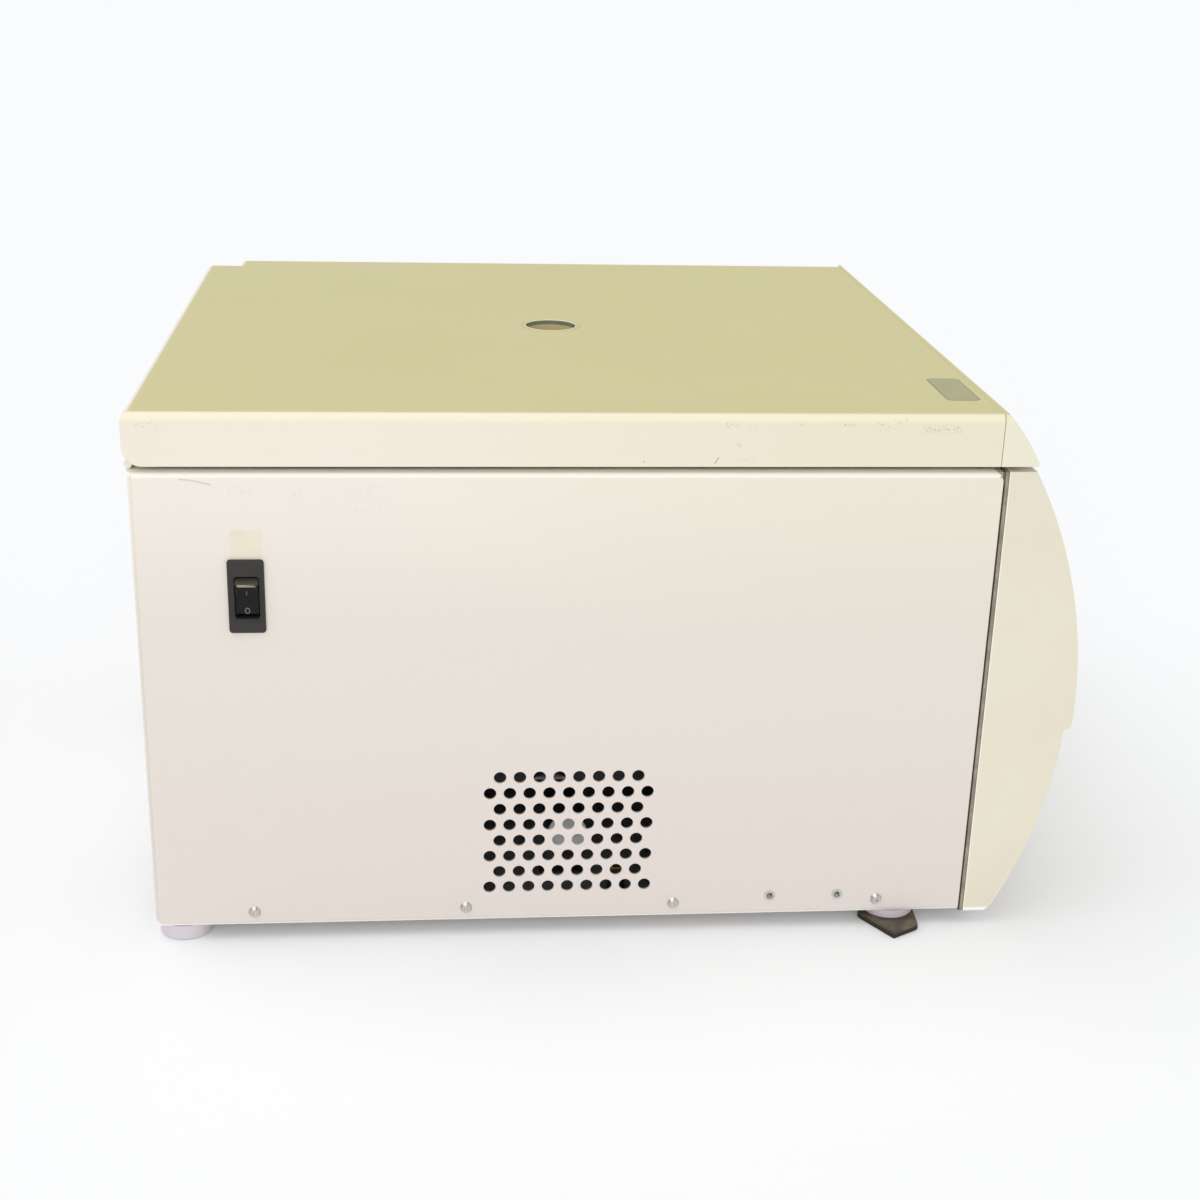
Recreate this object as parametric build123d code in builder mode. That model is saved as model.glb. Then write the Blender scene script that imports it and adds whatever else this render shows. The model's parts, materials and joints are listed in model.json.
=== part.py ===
"""Bench microplate centrifuge: sheet-metal housing, hinged lid, swing-out plate rotor.

Frame: +X to the right seen from the front, -Y towards the front, +Z up, in millimetres.
The origin lies on the bench, under the middle of the whole instrument.
"""
import os
from math import cos, degrees, radians, sin, sqrt, tan

from build123d import *

os.makedirs("parts", exist_ok=True)

# Housing
foot_height = 10.0
panel_depth = 506.0          # side panel, from the front seam to the rear fold
body_height = 295.5
sheet = 1.5
fold_radius = 4.0
panel_flange = 38.0          # width of the folded edges of a side panel
panel_corner = 8.0           # rounding of a side panel's upper front corner
side_room = 53.0             # from the chamber to the outside of a side panel
edge_gap = 0.2               # between sheet edges that stand side by side
moving_gap = 0.3             # between pieces that move past each other
bearing_gap = 0.05           # radial play of a pin in its hole

# Front cover: two stretches of one big round face, with a step between them
face_radius = 304.0
face_axis_setback = 243.5    # the face's axis lies this far behind the seam
face_axis_rise = 143.0       # and this far above the bottom of the body
face_step = 4.5
face_step_rise = 129.0
face_step_run = 3.0
cover_wall = 3.5
cover_top_drop = 1.1         # the cover ends this far below the side panels
cover_bottom_corner = 5.0
strip_width = 3.5            # dark seal between side panel and front cover
strip_depth = 8.0
strip_groove = 1.0

# Lid
lid_gap = 2.5
lid_height = 31.0
lid_sheet = 1.5
lid_side_overhang = 1.5
lid_rear_overhang = 3.0
lid_fold_radius = 5.0
lid_rear_corner = 11.0       # rounded lower rear corner of the side flanges
lid_rear_relief = 3.0        # cut into the rear flange, to swing past the rear panel
lid_front_setback = 3.0      # the sheet pan ends this far behind the seam
lid_notch_width = 22.0
lid_notch_depth = 24.0
trim_face_radius = 136.7
trim_reach = 23.0            # how far the front trim reaches past the pan
trim_rise = 0.6
trim_wall = 2.5
trim_lip = 12.0
trim_lip_root = 2.0
trim_gap = 0.4               # between the edges of the sheet pan and the trim
liner_thickness = 3.0
liner_drop = 3.0             # underside of the liner above the lower edge of the lid
liner_rim = 8.0
liner_rear_gap = 19.0        # room for the hinges behind the liner
liner_side_gap = 1.0
liner_boss_radius = 6.0
liner_boss_inset = 30.0
liner_rib_height = 5.0
bumper_radius = 7.0
bumper_inset = 48.0          # from the edges of the liner
port_radius = 17.2
port_wall = 2.1
port_rim = 1.6
port_rim_rise = 0.8
port_window_depth = 11.0
port_window_thickness = 3.0
port_ledge = 2.2

# Chamber and drive
guard_latch_gap = 4.0        # between the guard ring and the latch gearbox
bowl_radius = 182.0
bowl_wall = 1.5
bowl_floor_rise = 155.0      # inner floor above the bottom of the body
bowl_corner = 12.0
bowl_flange = 16.5
collar_radius = 30.0
collar_height = 5.0
collar_run = 16.0            # width of the slope that rises to the collar
collar_lip = 6.0
deck_opening_gap = 2.5
gasket_width = 7.0
guard_gap = 3.0
guard_wall = 6.0
guard_rise = 140.0
guard_top_gap = 4.5          # between the guard ring and the deck
guard_post_radius = 7.0
mount_radius = 14.0
mount_height = 22.0
mount_spacing = 130.0
bridge_width = 186.0
bridge_corner = 24.0
bridge_relief_radius = 14.0
bridge_bore_gap = 12.0
bridge_thickness = 8.0
motor_radius = 64.0
motor_height = 103.0
motor_flange_radius = 78.0
motor_flange_thickness = 6.0
motor_nose_radius = 33.0
motor_nose_height = 11.0
shaft_radius = 8.0
shaft_neck_radius = 11.0
bearing_radius = 18.0
bearing_width = 12.0

# Swing-out rotor for two microplate carriers
pivot_rise = 236.0           # trunnion axis above the bottom of the body
pivot_radius = 80.0
plate_width = 85.5           # standard microplate
plate_length = 127.8
plate_gap = 0.5              # around a microplate in its carrier
carrier_depth = 50.0
carrier_wall = 2.5
carrier_rim_rise = 10.0
carrier_side_height = 18.0
carrier_corner = 3.0
carrier_post_width = 9.0
carrier_shoulder_width = 22.0
carrier_shoulder_drop = 15.0
carrier_drain_radius = 3.0
carrier_drain_spacing = 70.0
trunnion_radius = 5.0
trunnion_boss_radius = 9.0
rail_thickness = 9.0
rail_half_height = 12.0
yoke_web = 60.0
yoke_web_thickness = 16.0
yoke_corner = 10.0
hub_radius = 26.0
hub_height = 44.0
hub_drop = 26.0
stud_radius = 5.0
stud_length = 10.0
nut_radius = 17.0
nut_height = 16.0

# Hinges
hinge_spacing = 300.0
hinge_axis_inset = 3.0       # hinge axis in front of the rear fold
hinge_axis_rise = 7.5        # above the top of the side panels
hinge_pin_radius = 3.0
hinge_ear_radius = 6.0
hinge_ear_thickness = 4.0
hinge_arm_width = 20.0
hinge_knuckle_radius = 5.5
arm_thickness = 4.0
arm_length = 56.0
hinge_foot_length = 32.0
hinge_foot_thickness = 3.0
pin_head_reach = 1.5

# Latch
striker_spacing = 240.0
striker_setback = 26.0       # striker bars behind the seam
striker_rod_radius = 2.5
striker_width = 20.0
striker_plate = 2.5
striker_bar_drop = 22.0      # bar below the top of the side panels
latch_reach = 18.0           # latch shaft behind and below the bar
latch_shaft_radius = 4.0
hook_thickness = 6.0
hook_wall = 5.5
hook_gap = 2.0               # between a hook and the striker bar it catches
hook_hub_radius = 9.0
hook_start = 152.0           # angles from the shaft to the ends of a hook
hook_end = 200.0
latch_bracket_thickness = 3.0
latch_bracket_top = 24.0     # width of a bracket along its fixing edge
latch_bracket_foot = 16.0
latch_bracket_drop = 8.0     # below the shaft
latch_bracket_lap = 20.0
latch_end_room = 22.0        # from a striker to the bracket beside it
striker_plate_margin = 7.0
striker_plate_length = 22.0
striker_bend = 3.5
gearbox_width = 26.0
gearbox_length = 52.0
gearbox_plate_length = 70.0
gearbox_plate_width = 30.0
gearbox_plate_thickness = 2.0
gearbox_web = 4.0
gearbox_motor_radius = 12.0
gearbox_motor_length = 38.0

# Feet
foot_radius = 16.5
foot_inset = 18.0
rear_foot_inset = 15.0       # in front of the rear fold
front_foot_setback = 42.0
foot_stud_radius = 4.0
foot_stud_length = 12.0
pad_thickness = 4.0
pad_width = 21.5
pad_length = 52.0
pad_turn = 32.0
pad_corner_reach = 17.0      # outer corner of the pad past the side of the body
pad_corner_setback = 44.5

# Side fasteners, vents and switch
screw_pitch = 130.8
screw_first_setback = 54.3
screw_rise = 10.0
screw_head_radius = 3.85
screw_head_height = 2.2
screw_radius = 2.0
screw_length = 7.0
socket_key_radius = 1.25
socket_key_depth = 1.3
insert_setbacks = (80.0, 123.4)
insert_rise = 14.0
insert_radius = 3.4
insert_bore_radius = 2.0
insert_length = 11.0
insert_lip = 0.5
vent_pitch = 12.15
vent_row_pitch = 10.8
vent_rows = 8
vent_hole_radius = 3.85
vent_setback = 252.7
vent_rise = 62.0
switch_setback = 442.5
switch_rise = 219.0
switch_width = 20.8
switch_height = 44.5
switch_plate = 2.0
switch_skirt_width = 17.4
switch_skirt_height = 38.0
switch_skirt_depth = 7.0
rocker_width = 13.6
rocker_height = 23.4
rocker_tilt = 8.0
rocker_reach = 6.4           # ridge of the rocker in front of its axis
rocker_waist = 4.4
rocker_shoulder = 1.8
rocker_slope = 3.8           # height of the sloped end beyond a ridge
rocker_root = 1.5
rocker_back = 3.4
rocker_draft = 0.6
rocker_side_gap = 0.25
rocker_end_gap = 1.05
rocker_axis_depth = 3.0
rocker_pin_radius = 1.5
rocker_pin_reach = 1.2
switch_body_depth = 19.0
switch_tab_length = 9.0

# Base tray and rear
tray_sheet = 2.0
tray_height = 17.0
fan_width = 92.0
fan_depth = 25.0
fan_bore_radius = 43.5
fan_hub_radius = 20.0
fan_blades = 7
fan_screw_pitch = 82.5
fan_screw_radius = 2.2
fan_arm_thickness = 4.0
fan_hub_height = 17.0
fan_hub_wall = 2.0
fan_core_radius = 6.0
fan_pin_radius = 3.0
blade_chord = 17.0
blade_thickness = 1.6
blade_root_pitch = 42.0
blade_tip_pitch = 64.0
blade_root_lap = 1.0
blade_tip_gap = 1.2
guard_wire = 1.8
guard_thickness = 1.3
fan_x = 110.0
fan_rise = 90.0
inlet_x = -150.0
inlet_rise = 60.0
inlet_width = 48.0
inlet_height = 28.0
inlet_depth = 30.0
socket_x = 9.0
socket_width = 25.0
socket_height = 17.5
socket_depth = 17.0
fuse_x = -15.0
fuse_width = 13.0
fuse_height = 22.0
fuse_groove = 0.7

# Electronics
unit_x = 158.0               # power unit, beside the motor
unit_width = 100.0
unit_length = 150.0
unit_height = 34.0
fin_count = 12
fin_pitch = 8.0
fin_height = 24.0
fin_thickness = 1.6
board_x = -130.0             # control board, on the front bulkhead
board_rise = 110.0
control_board_width = 150.0
control_board_height = 110.0
control_board_standoff = 8.0
standoff_radius = 3.0
standoff_inset = 6.0
transformer_width = 42.0
transformer_height = 36.0
transformer_depth = 30.0
can_radius = 10.0            # round capacitors
can_length = 26.0
can_pitch = 25.0
chip_width = 24.0
chip_pitch = 45.0
chip_thickness = 6.0
header_width = 8.0
header_length = 60.0

# Control panel on the upper front face
panel_width = 300.0
panel_low_angle = 4.0
panel_high_angle = 26.0
panel_thickness = 4.0
panel_flange_lap = 6.0
panel_flange_thickness = 2.0
window_width = 92.0
window_low_angle = 15.5
window_high_angle = 24.5
window_thickness = 1.5
window_lip = 4.0
board_angle = 15.0
board_depth = 24.0
board_thickness = 1.6
board_margin = 15.0          # board inside each end of the panel
board_width = 96.0
board_pillar_height = 6.0
encoder_width = 14.0
encoder_height = 8.0
key_switch_width = 7.0
key_switch_gap = 4.0         # from the board to a switch top
display_height = 40.0
display_thickness = 8.0
knob_radius = 17.0
knob_height = 16.0
knob_seat = 0.5              # gap under a knob
knob_taper = 5.0
knob_round = 1.5
knob_inset = 42.0            # knob axis from the end of the panel
knob_shaft_radius = 3.0
key_angle = 9.0
key_width = 30.0
key_height = 13.0
key_pitch = 44.0
key_rise = 2.0
key_travel = 1.2

# Worked-out places
base_z = foot_height
top_z = base_z + body_height
body_width = 2 * (bowl_radius + side_room)
side_x = body_width / 2
inner_x = side_x - sheet
knob_tilt = radians(board_angle)
knob_axis_reach = face_radius + knob_seat + knob_height - knob_round
knob_rim_reach = knob_radius - knob_height * tan(radians(knob_taper)) - knob_round
knob_reach = knob_axis_reach * cos(knob_tilt) + knob_rim_reach * sin(knob_tilt) + knob_round
front_reach = knob_reach - face_axis_setback
overall_depth = front_reach + panel_depth + lid_rear_overhang
rear_y = overall_depth / 2 - lid_rear_overhang
seam_y = rear_y - panel_depth
guard_outer = bowl_radius + bowl_wall + guard_gap + guard_wall
latch_setback = striker_setback + latch_reach
chamber_y = seam_y + latch_setback + gearbox_width / 2 + guard_latch_gap + guard_outer
deck_top_z = top_z - sheet
deck_low_z = deck_top_z - sheet
lid_low_z = top_z + lid_gap
lid_top_z = lid_low_z + lid_height
lid_x = side_x + lid_side_overhang
lid_front_y = seam_y + lid_front_setback
lid_rear_y = rear_y + lid_rear_overhang
liner_low_z = lid_low_z + liner_drop
liner_top_z = liner_low_z + liner_thickness
face_y = seam_y + face_axis_setback
face_z = base_z + face_axis_rise
pivot_z = base_z + pivot_rise
carrier_width = plate_width + 2 * (plate_gap + carrier_wall)
carrier_length = plate_length + 2 * (plate_gap + carrier_wall)
spin_axis = Axis((0, chamber_y, 0), (0, 0, 1))
turning_plane = Plane(origin=(0, chamber_y, 0), x_dir=(1, 0, 0), z_dir=(0, -1, 0))


def finish(piece, name):
    """Label a finished piece and write its STEP file."""
    piece.part.label = name
    export_step(piece.part, f"parts/{name}.step")


def face_plane(angle, depth=0.0, x=0.0):
    """Plane square to the round front face, at an angle above its axis."""
    radius = face_radius - depth
    tilt = radians(angle)
    return Plane(
        origin=(x, face_y - radius * cos(tilt), face_z + radius * sin(tilt)),
        x_dir=(1, 0, 0),
        z_dir=(0, -cos(tilt), sin(tilt)),
    )


def face_point(radius, z):
    """Point (y, z) on a cylinder about the axis of the front face."""
    return (face_y - sqrt(radius**2 - (z - face_z) ** 2), z)


# Side panels
front_screw_y = seam_y + screw_first_setback
screw_ys = [front_screw_y + i * screw_pitch for i in range(4)]
insert_ys = [seam_y + setback for setback in insert_setbacks]
foot_ys = [seam_y + front_foot_setback, rear_y - rear_foot_inset]
foot_x = side_x - foot_inset
switch_y = seam_y + switch_setback
switch_z = base_z + switch_rise


def vent_places():
    """Centres (y, z) of the vent holes, rows of eight and nine by turns."""
    places = []
    for row in range(vent_rows):
        count = 8 + (row + 1) % 2
        z = base_z + vent_rise + (row - (vent_rows - 1) / 2) * vent_row_pitch
        for i in range(count):
            y = seam_y + vent_setback + (i - (count - 1) / 2) * vent_pitch
            places.append((y, z))
    return places


def make_side_panel(side, has_switch):
    """One folded side panel; side is -1 for the left and 1 for the right."""
    with BuildPart() as panel:
        with BuildSketch(Plane.XY.offset(base_z)):
            with Locations((side * (side_x - panel_flange / 2), (seam_y + rear_y) / 2)):
                Rectangle(panel_flange, panel_depth)
        extrude(amount=body_height)
        outer = panel.faces().sort_by(Axis.X)[-1 if side > 0 else 0]
        folds = outer.edges().filter_by(Axis.Y)
        rear_fold = outer.edges().filter_by(Axis.Z).sort_by(Axis.Y)[-1]
        fillet(folds + [rear_fold], fold_radius)
        inner = panel.faces().sort_by(Axis.X)[0 if side > 0 else -1]
        front = panel.faces().sort_by(Axis.Y)[0]
        offset(amount=-sheet, openings=[inner, front])
        with BuildSketch(Plane.YZ.offset(-side_x - 1)):
            with BuildLine():
                corner = (seam_y, top_z)
                low = (seam_y, top_z - panel_corner)
                far = (seam_y + panel_corner, top_z)
                Line(corner, low)
                RadiusArc(low, far, panel_corner)
                Line(far, corner)
            make_face()
        extrude(amount=body_width + 2, mode=Mode.SUBTRACT)
        with BuildSketch(Plane.YZ.offset(side * side_x)):
            with Locations(*vent_places()):
                Circle(vent_hole_radius)
            with Locations(*[(y, base_z + screw_rise) for y in screw_ys]):
                Circle(screw_radius + edge_gap)
            with Locations(*[(y, base_z + insert_rise) for y in insert_ys]):
                Circle(insert_radius - insert_lip + edge_gap / 2)
            if has_switch:
                with Locations((switch_y, switch_z)):
                    Rectangle(switch_skirt_width + edge_gap, switch_skirt_height + edge_gap)
        extrude(amount=-side * (sheet + 1), mode=Mode.SUBTRACT)
        with BuildSketch(Plane.XY.offset(base_z - 1)):
            with Locations(*[(side * foot_x, y) for y in foot_ys]):
                Circle(foot_stud_radius + edge_gap)
        extrude(amount=sheet + 2, mode=Mode.SUBTRACT)
    return panel


side_panel_left = make_side_panel(-1, True)
finish(side_panel_left, "side_panel_left")
side_panel_right = make_side_panel(1, False)
finish(side_panel_right, "side_panel_right")

# Base tray
tray_low_z = base_z + sheet
tray_top_z = tray_low_z + tray_sheet
bulkhead_y = seam_y + sheet
inner_fold = fold_radius - sheet
sheet_x = inner_x - inner_fold      # half width of a flat sheet that clears the folds
rear_inner_y = rear_y - sheet
mount_places = [
    (sx * mount_spacing / 2, chamber_y + sy * mount_spacing / 2) for sx in (-1, 1) for sy in (-1, 1)
]
guard_inner = guard_outer - guard_wall
guard_mid = guard_outer - guard_wall / 2
post_places = [
    (guard_mid * cos(radians(a)), chamber_y + guard_mid * sin(radians(a))) for a in (45, 135, 225, 315)
]

with BuildPart() as base_tray:
    with BuildSketch(Plane.XY.offset(tray_low_z)):
        with Locations((0, (bulkhead_y + rear_inner_y) / 2)):
            Rectangle(2 * inner_x, rear_inner_y - bulkhead_y)
    extrude(amount=tray_height)
    corners = base_tray.edges().filter_by(Axis.Z)
    fillet(corners + base_tray.faces().sort_by(Axis.Z)[0].edges(), fold_radius)
    offset(amount=-tray_sheet, openings=base_tray.faces().sort_by(Axis.Z)[-1])
    with BuildSketch(Plane.XY.offset(tray_low_z)):
        with Locations(*[(side * foot_x, y) for side in (-1, 1) for y in foot_ys]):
            Circle(foot_stud_radius + edge_gap)
        with Locations((0, chamber_y)):
            with GridLocations(26, 60, 4, 1):
                SlotOverall(46, 8, rotation=90)
    extrude(amount=tray_sheet, mode=Mode.SUBTRACT)
    with BuildSketch(Plane.YZ.offset(-inner_x - 1)):
        with Locations(*[(y, base_z + screw_rise) for y in screw_ys]):
            Circle(screw_radius + edge_gap)
        with Locations(*[(y, base_z + insert_rise) for y in insert_ys]):
            Circle(insert_radius - insert_lip + edge_gap / 2)
    extrude(amount=2 * inner_x + 2, mode=Mode.SUBTRACT)
finish(base_tray, "base_tray")

# Front bulkhead
with BuildPart() as front_bulkhead:
    with BuildSketch(Plane.XZ.offset(-bulkhead_y)):
        with Locations((0, (tray_low_z + deck_low_z) / 2)):
            Rectangle(2 * sheet_x, deck_low_z - tray_low_z)
        with Locations((0, base_z + 60)):
            with GridLocations(240, 1, 2, 1):
                SlotOverall(70, 24, mode=Mode.SUBTRACT)
    extrude(amount=sheet)
finish(front_bulkhead, "front_bulkhead")

# Deck plate
striker_y = seam_y + striker_setback
striker_xs = [-striker_spacing / 2, striker_spacing / 2]
with BuildPart() as deck_plate:
    with BuildSketch(Plane.XY.offset(deck_low_z)):
        with Locations((0, (seam_y + rear_inner_y - inner_fold) / 2)):
            Rectangle(2 * sheet_x, rear_inner_y - inner_fold - seam_y)
        with Locations((0, chamber_y)):
            Circle(bowl_radius + deck_opening_gap + bowl_wall, mode=Mode.SUBTRACT)
        with Locations(*[(x, striker_y + 2) for x in striker_xs]):
            RectangleRounded(striker_width + 10, 20, 3, mode=Mode.SUBTRACT)
    extrude(amount=sheet)
finish(deck_plate, "deck_plate")

# Rear panel
fan_z = base_z + fan_rise
inlet_z = base_z + inlet_rise
hinge_xs = [-hinge_spacing / 2, hinge_spacing / 2]
hinge_ear_x = hinge_arm_width / 2 + edge_gap + hinge_ear_thickness
rear_panel_x = side_x - 3.5
hem_radius = 2.3
hem_z = top_z + hem_radius
with BuildPart() as rear_panel:
    with BuildSketch(Plane.XZ.offset(-rear_y)):
        with Locations((0, (base_z + 3 + hem_z) / 2)):
            Rectangle(2 * rear_panel_x, hem_z - base_z - 3)
        with Locations((fan_x, fan_z)):
            Circle(fan_bore_radius, mode=Mode.SUBTRACT)
        with Locations((inlet_x, inlet_z)):
            Rectangle(inlet_width, inlet_height, mode=Mode.SUBTRACT)
        with Locations((-10, base_z + 200)):
            with GridLocations(14, 1, 11, 1):
                SlotOverall(60, 6, rotation=90, mode=Mode.SUBTRACT)
    extrude(amount=-sheet)
    with BuildSketch(Plane.YZ.offset(-rear_panel_x)):
        with Locations((rear_y + lid_rear_overhang - hem_radius, hem_z)):
            Circle(hem_radius)
    extrude(amount=2 * rear_panel_x)
    with Locations(*[(x, rear_y, top_z) for x in hinge_xs]):
        Box(
            2 * hinge_ear_x + 9, 20, 12,
            align=(Align.CENTER, Align.CENTER, Align.MIN), mode=Mode.SUBTRACT,
        )
finish(rear_panel, "rear_panel")

# Front cover
cover_back_y = seam_y - strip_width
cover_top_z = top_z - cover_top_drop


def cover_profile(inset, back_y):
    """Side outline of the front cover, set in by a wall on all sides but the back."""
    upper = face_radius - inset
    lower = face_radius - face_step - inset
    top = cover_top_z - inset
    low = base_z + inset
    step_z = base_z + face_step_rise + inset
    corner = cover_bottom_corner
    step_top = face_point(upper, step_z)
    step_low = face_point(lower, step_z - face_step_run)
    low_end = face_point(lower, low + corner)
    foot = (low_end[0] + corner, low)
    with BuildSketch(Plane.YZ.offset(-side_x + inset)) as profile:
        with BuildLine():
            Line((back_y, low), (back_y, top))
            Line((back_y, top), face_point(upper, top))
            RadiusArc(face_point(upper, top), step_top, -upper)
            Line(step_top, step_low)
            RadiusArc(step_low, low_end, -lower)
            Line(low_end, foot)
            Line(foot, (back_y, low))
        make_face()
    return profile.sketch


panel_inner = face_radius - cover_wall


def face_band(outer, thickness, low_angle, high_angle, width):
    """Curved slab that follows the round front face between two angles."""
    inner = outer - thickness
    with BuildSketch(Plane.YZ.offset(-width / 2)) as band:
        with BuildLine():
            ends = [
                (face_y - r * cos(radians(a)), face_z + r * sin(radians(a)))
                for r, a in (
                    (outer, low_angle), (outer, high_angle), (inner, high_angle), (inner, low_angle)
                )
            ]
            RadiusArc(ends[0], ends[1], outer)
            Line(ends[1], ends[2])
            RadiusArc(ends[2], ends[3], -inner)
            Line(ends[3], ends[0])
        make_face()
    return band.sketch


def arc_angle(length):
    """Angle that a length spans along the front face."""
    return degrees(length / face_radius)


with BuildPart() as front_cover:
    extrude(cover_profile(0, cover_back_y), amount=body_width)
    inside = cover_profile(cover_wall, cover_back_y + 1)
    extrude(inside, amount=body_width - 2 * cover_wall, mode=Mode.SUBTRACT)
    opening = face_band(face_radius + 1, cover_wall + 2, panel_low_angle, panel_high_angle, panel_width)
    extrude(opening, amount=panel_width, mode=Mode.SUBTRACT)
finish(front_cover, "front_cover")

# Seal strips, which also fill the rounded corners of the side panels
with BuildPart() as edge_seals:
    for side in (-1, 1):
        with BuildSketch(Plane.XY.offset(base_z)):
            with Locations((side * (side_x - strip_depth / 2), seam_y - strip_width / 2)):
                Rectangle(strip_depth, strip_width)
            with Locations((side * side_x, seam_y)):
                Rectangle(2 * sheet, 2 * strip_groove, mode=Mode.SUBTRACT)
        extrude(amount=body_height - cover_top_drop)
        with BuildSketch(Plane.YZ.offset(side * inner_x)):
            with Locations((seam_y - strip_groove, cover_top_z)):
                Rectangle(
                    panel_corner + strip_groove, panel_corner - cover_top_drop,
                    align=(Align.MIN, Align.MAX),
                )
            with Locations((seam_y + panel_corner, top_z - panel_corner)):
                Circle(panel_corner + edge_gap, mode=Mode.SUBTRACT)
        extrude(amount=side * sheet)
finish(edge_seals, "edge_seals")

# Chamber
bowl_floor_z = base_z + bowl_floor_rise
bowl_rim_z = deck_low_z
collar_z = bowl_floor_z + collar_height
with BuildPart() as bowl:
    with BuildSketch(turning_plane):
        with BuildLine():
            FilletPolyline(
                (bowl_radius + bowl_flange, bowl_rim_z - bowl_wall / 2),
                (bowl_radius + bowl_wall / 2, bowl_rim_z - bowl_wall / 2),
                (bowl_radius + bowl_wall / 2, bowl_floor_z - bowl_wall / 2),
                (collar_radius + collar_lip + collar_run, bowl_floor_z - bowl_wall / 2),
                (collar_radius + collar_lip, collar_z - bowl_wall / 2),
                (collar_radius, collar_z - bowl_wall / 2),
                radius=[2, bowl_corner, 8, 3],
            )
        trace(line_width=bowl_wall)
    revolve(axis=spin_axis)
finish(bowl, "bowl")

gasket_inner = bowl_radius + bowl_wall
gasket_edge = gasket_inner + deck_opening_gap - 0.1
with BuildPart() as bowl_gasket:
    with BuildSketch(turning_plane):
        with BuildLine():
            Polyline(
                (gasket_inner, bowl_rim_z),
                (gasket_edge, bowl_rim_z),
                (gasket_edge, deck_top_z),
                (gasket_edge + gasket_width, deck_top_z),
                (gasket_edge + gasket_width, deck_top_z + 1.4),
                (gasket_edge + 1.5, deck_top_z + 2.4),
                (gasket_edge, liner_low_z - moving_gap),
                (gasket_edge - 2.4, liner_low_z - moving_gap),
                (gasket_inner, deck_top_z + 2.4),
                close=True,
            )
        make_face()
    revolve(axis=spin_axis)
finish(bowl_gasket, "bowl_gasket")

guard_low_z = base_z + guard_rise
with BuildPart() as guard_ring:
    with BuildSketch(Plane.XY.offset(guard_low_z)):
        with Locations((0, chamber_y)):
            Circle(guard_outer)
            Circle(guard_inner, mode=Mode.SUBTRACT)
    extrude(amount=deck_low_z - guard_top_gap - guard_low_z)
finish(guard_ring, "guard_ring")

with BuildPart() as guard_posts:
    with BuildSketch(Plane.XY.offset(tray_top_z)):
        with Locations(*post_places):
            Circle(guard_post_radius)
    extrude(amount=guard_low_z - tray_top_z)
finish(guard_posts, "guard_posts")

# Motor
bridge_low_z = tray_top_z + mount_height
motor_low_z = bridge_low_z + bridge_thickness
motor_top_z = motor_low_z + motor_height
nose_top_z = motor_top_z + motor_nose_height
bearing_low_zs = [motor_low_z + 12, nose_top_z - bearing_width - 2]

with BuildPart() as motor_mounts:
    with BuildSketch(Plane.XY.offset(tray_top_z)):
        with Locations(*mount_places):
            Circle(mount_radius)
    extrude(amount=mount_height)
    fillet(motor_mounts.edges().filter_by(GeomType.CIRCLE), 3)
finish(motor_mounts, "motor_mounts")

with BuildPart() as motor_bridge:
    with BuildSketch(Plane.XY.offset(bridge_low_z)):
        with Locations((0, chamber_y)):
            RectangleRounded(bridge_width, bridge_width, bridge_corner)
            Circle(shaft_radius + bridge_bore_gap, mode=Mode.SUBTRACT)
            with PolarLocations(bridge_width / 2, 4):
                Circle(bridge_relief_radius, mode=Mode.SUBTRACT)
    extrude(amount=bridge_thickness)
finish(motor_bridge, "motor_bridge")

with BuildPart() as motor:
    with BuildSketch(turning_plane):
        with BuildLine():
            Polyline(
                (0, motor_low_z),
                (motor_flange_radius, motor_low_z),
                (motor_flange_radius, motor_low_z + motor_flange_thickness),
                (motor_radius, motor_low_z + motor_flange_thickness),
                (motor_radius, motor_top_z - 6),
                (motor_radius - 6, motor_top_z),
                (motor_nose_radius, motor_top_z),
                (motor_nose_radius, nose_top_z),
                (0, nose_top_z),
                close=True,
            )
        make_face()
    revolve(axis=spin_axis)
    with BuildSketch(Plane.XY.offset(motor_low_z + motor_flange_thickness + 6)):
        with Locations((0, chamber_y)):
            with PolarLocations(motor_radius, 18):
                Rectangle(4, 5)
    extrude(amount=motor_height - motor_flange_thickness - 24, mode=Mode.SUBTRACT)
    with Locations((0, chamber_y, motor_low_z)):
        Cylinder(
            shaft_radius + 1.5, motor_height + motor_nose_height,
            align=(Align.CENTER, Align.CENTER, Align.MIN), mode=Mode.SUBTRACT,
        )
    with Locations(*[(0, chamber_y, z) for z in bearing_low_zs]):
        Cylinder(
            bearing_radius, bearing_width,
            align=(Align.CENTER, Align.CENTER, Align.MIN), mode=Mode.SUBTRACT,
        )
finish(motor, "motor")

with BuildPart() as motor_bearings:
    for low in bearing_low_zs:
        with BuildSketch(Plane.XY.offset(low)):
            with Locations((0, chamber_y)):
                Circle(bearing_radius - bearing_gap)
                Circle(shaft_radius + bearing_gap, mode=Mode.SUBTRACT)
        extrude(amount=bearing_width)
finish(motor_bearings, "motor_bearings")

boot_low_z = motor_top_z
boot_top_z = collar_z - bowl_wall
with BuildPart() as shaft_boot:
    with BuildSketch(turning_plane):
        with BuildLine():
            Polyline(
                (motor_nose_radius + 9, boot_low_z),
                (motor_nose_radius + 9, boot_low_z + 2),
                (motor_nose_radius + 3, boot_low_z + 5),
                (motor_nose_radius + 3, nose_top_z + 4),
                (collar_radius - 3, boot_top_z - 2),
                (collar_radius + 4, boot_top_z - 2),
                (collar_radius + 4, boot_top_z),
                (collar_radius - 5.5, boot_top_z),
                (collar_radius - 5.5, boot_top_z - 3),
                (motor_nose_radius + 1, nose_top_z + 3),
                (motor_nose_radius + 1, boot_low_z),
                close=True,
            )
        make_face()
    revolve(axis=spin_axis)
finish(shaft_boot, "shaft_boot")

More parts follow.
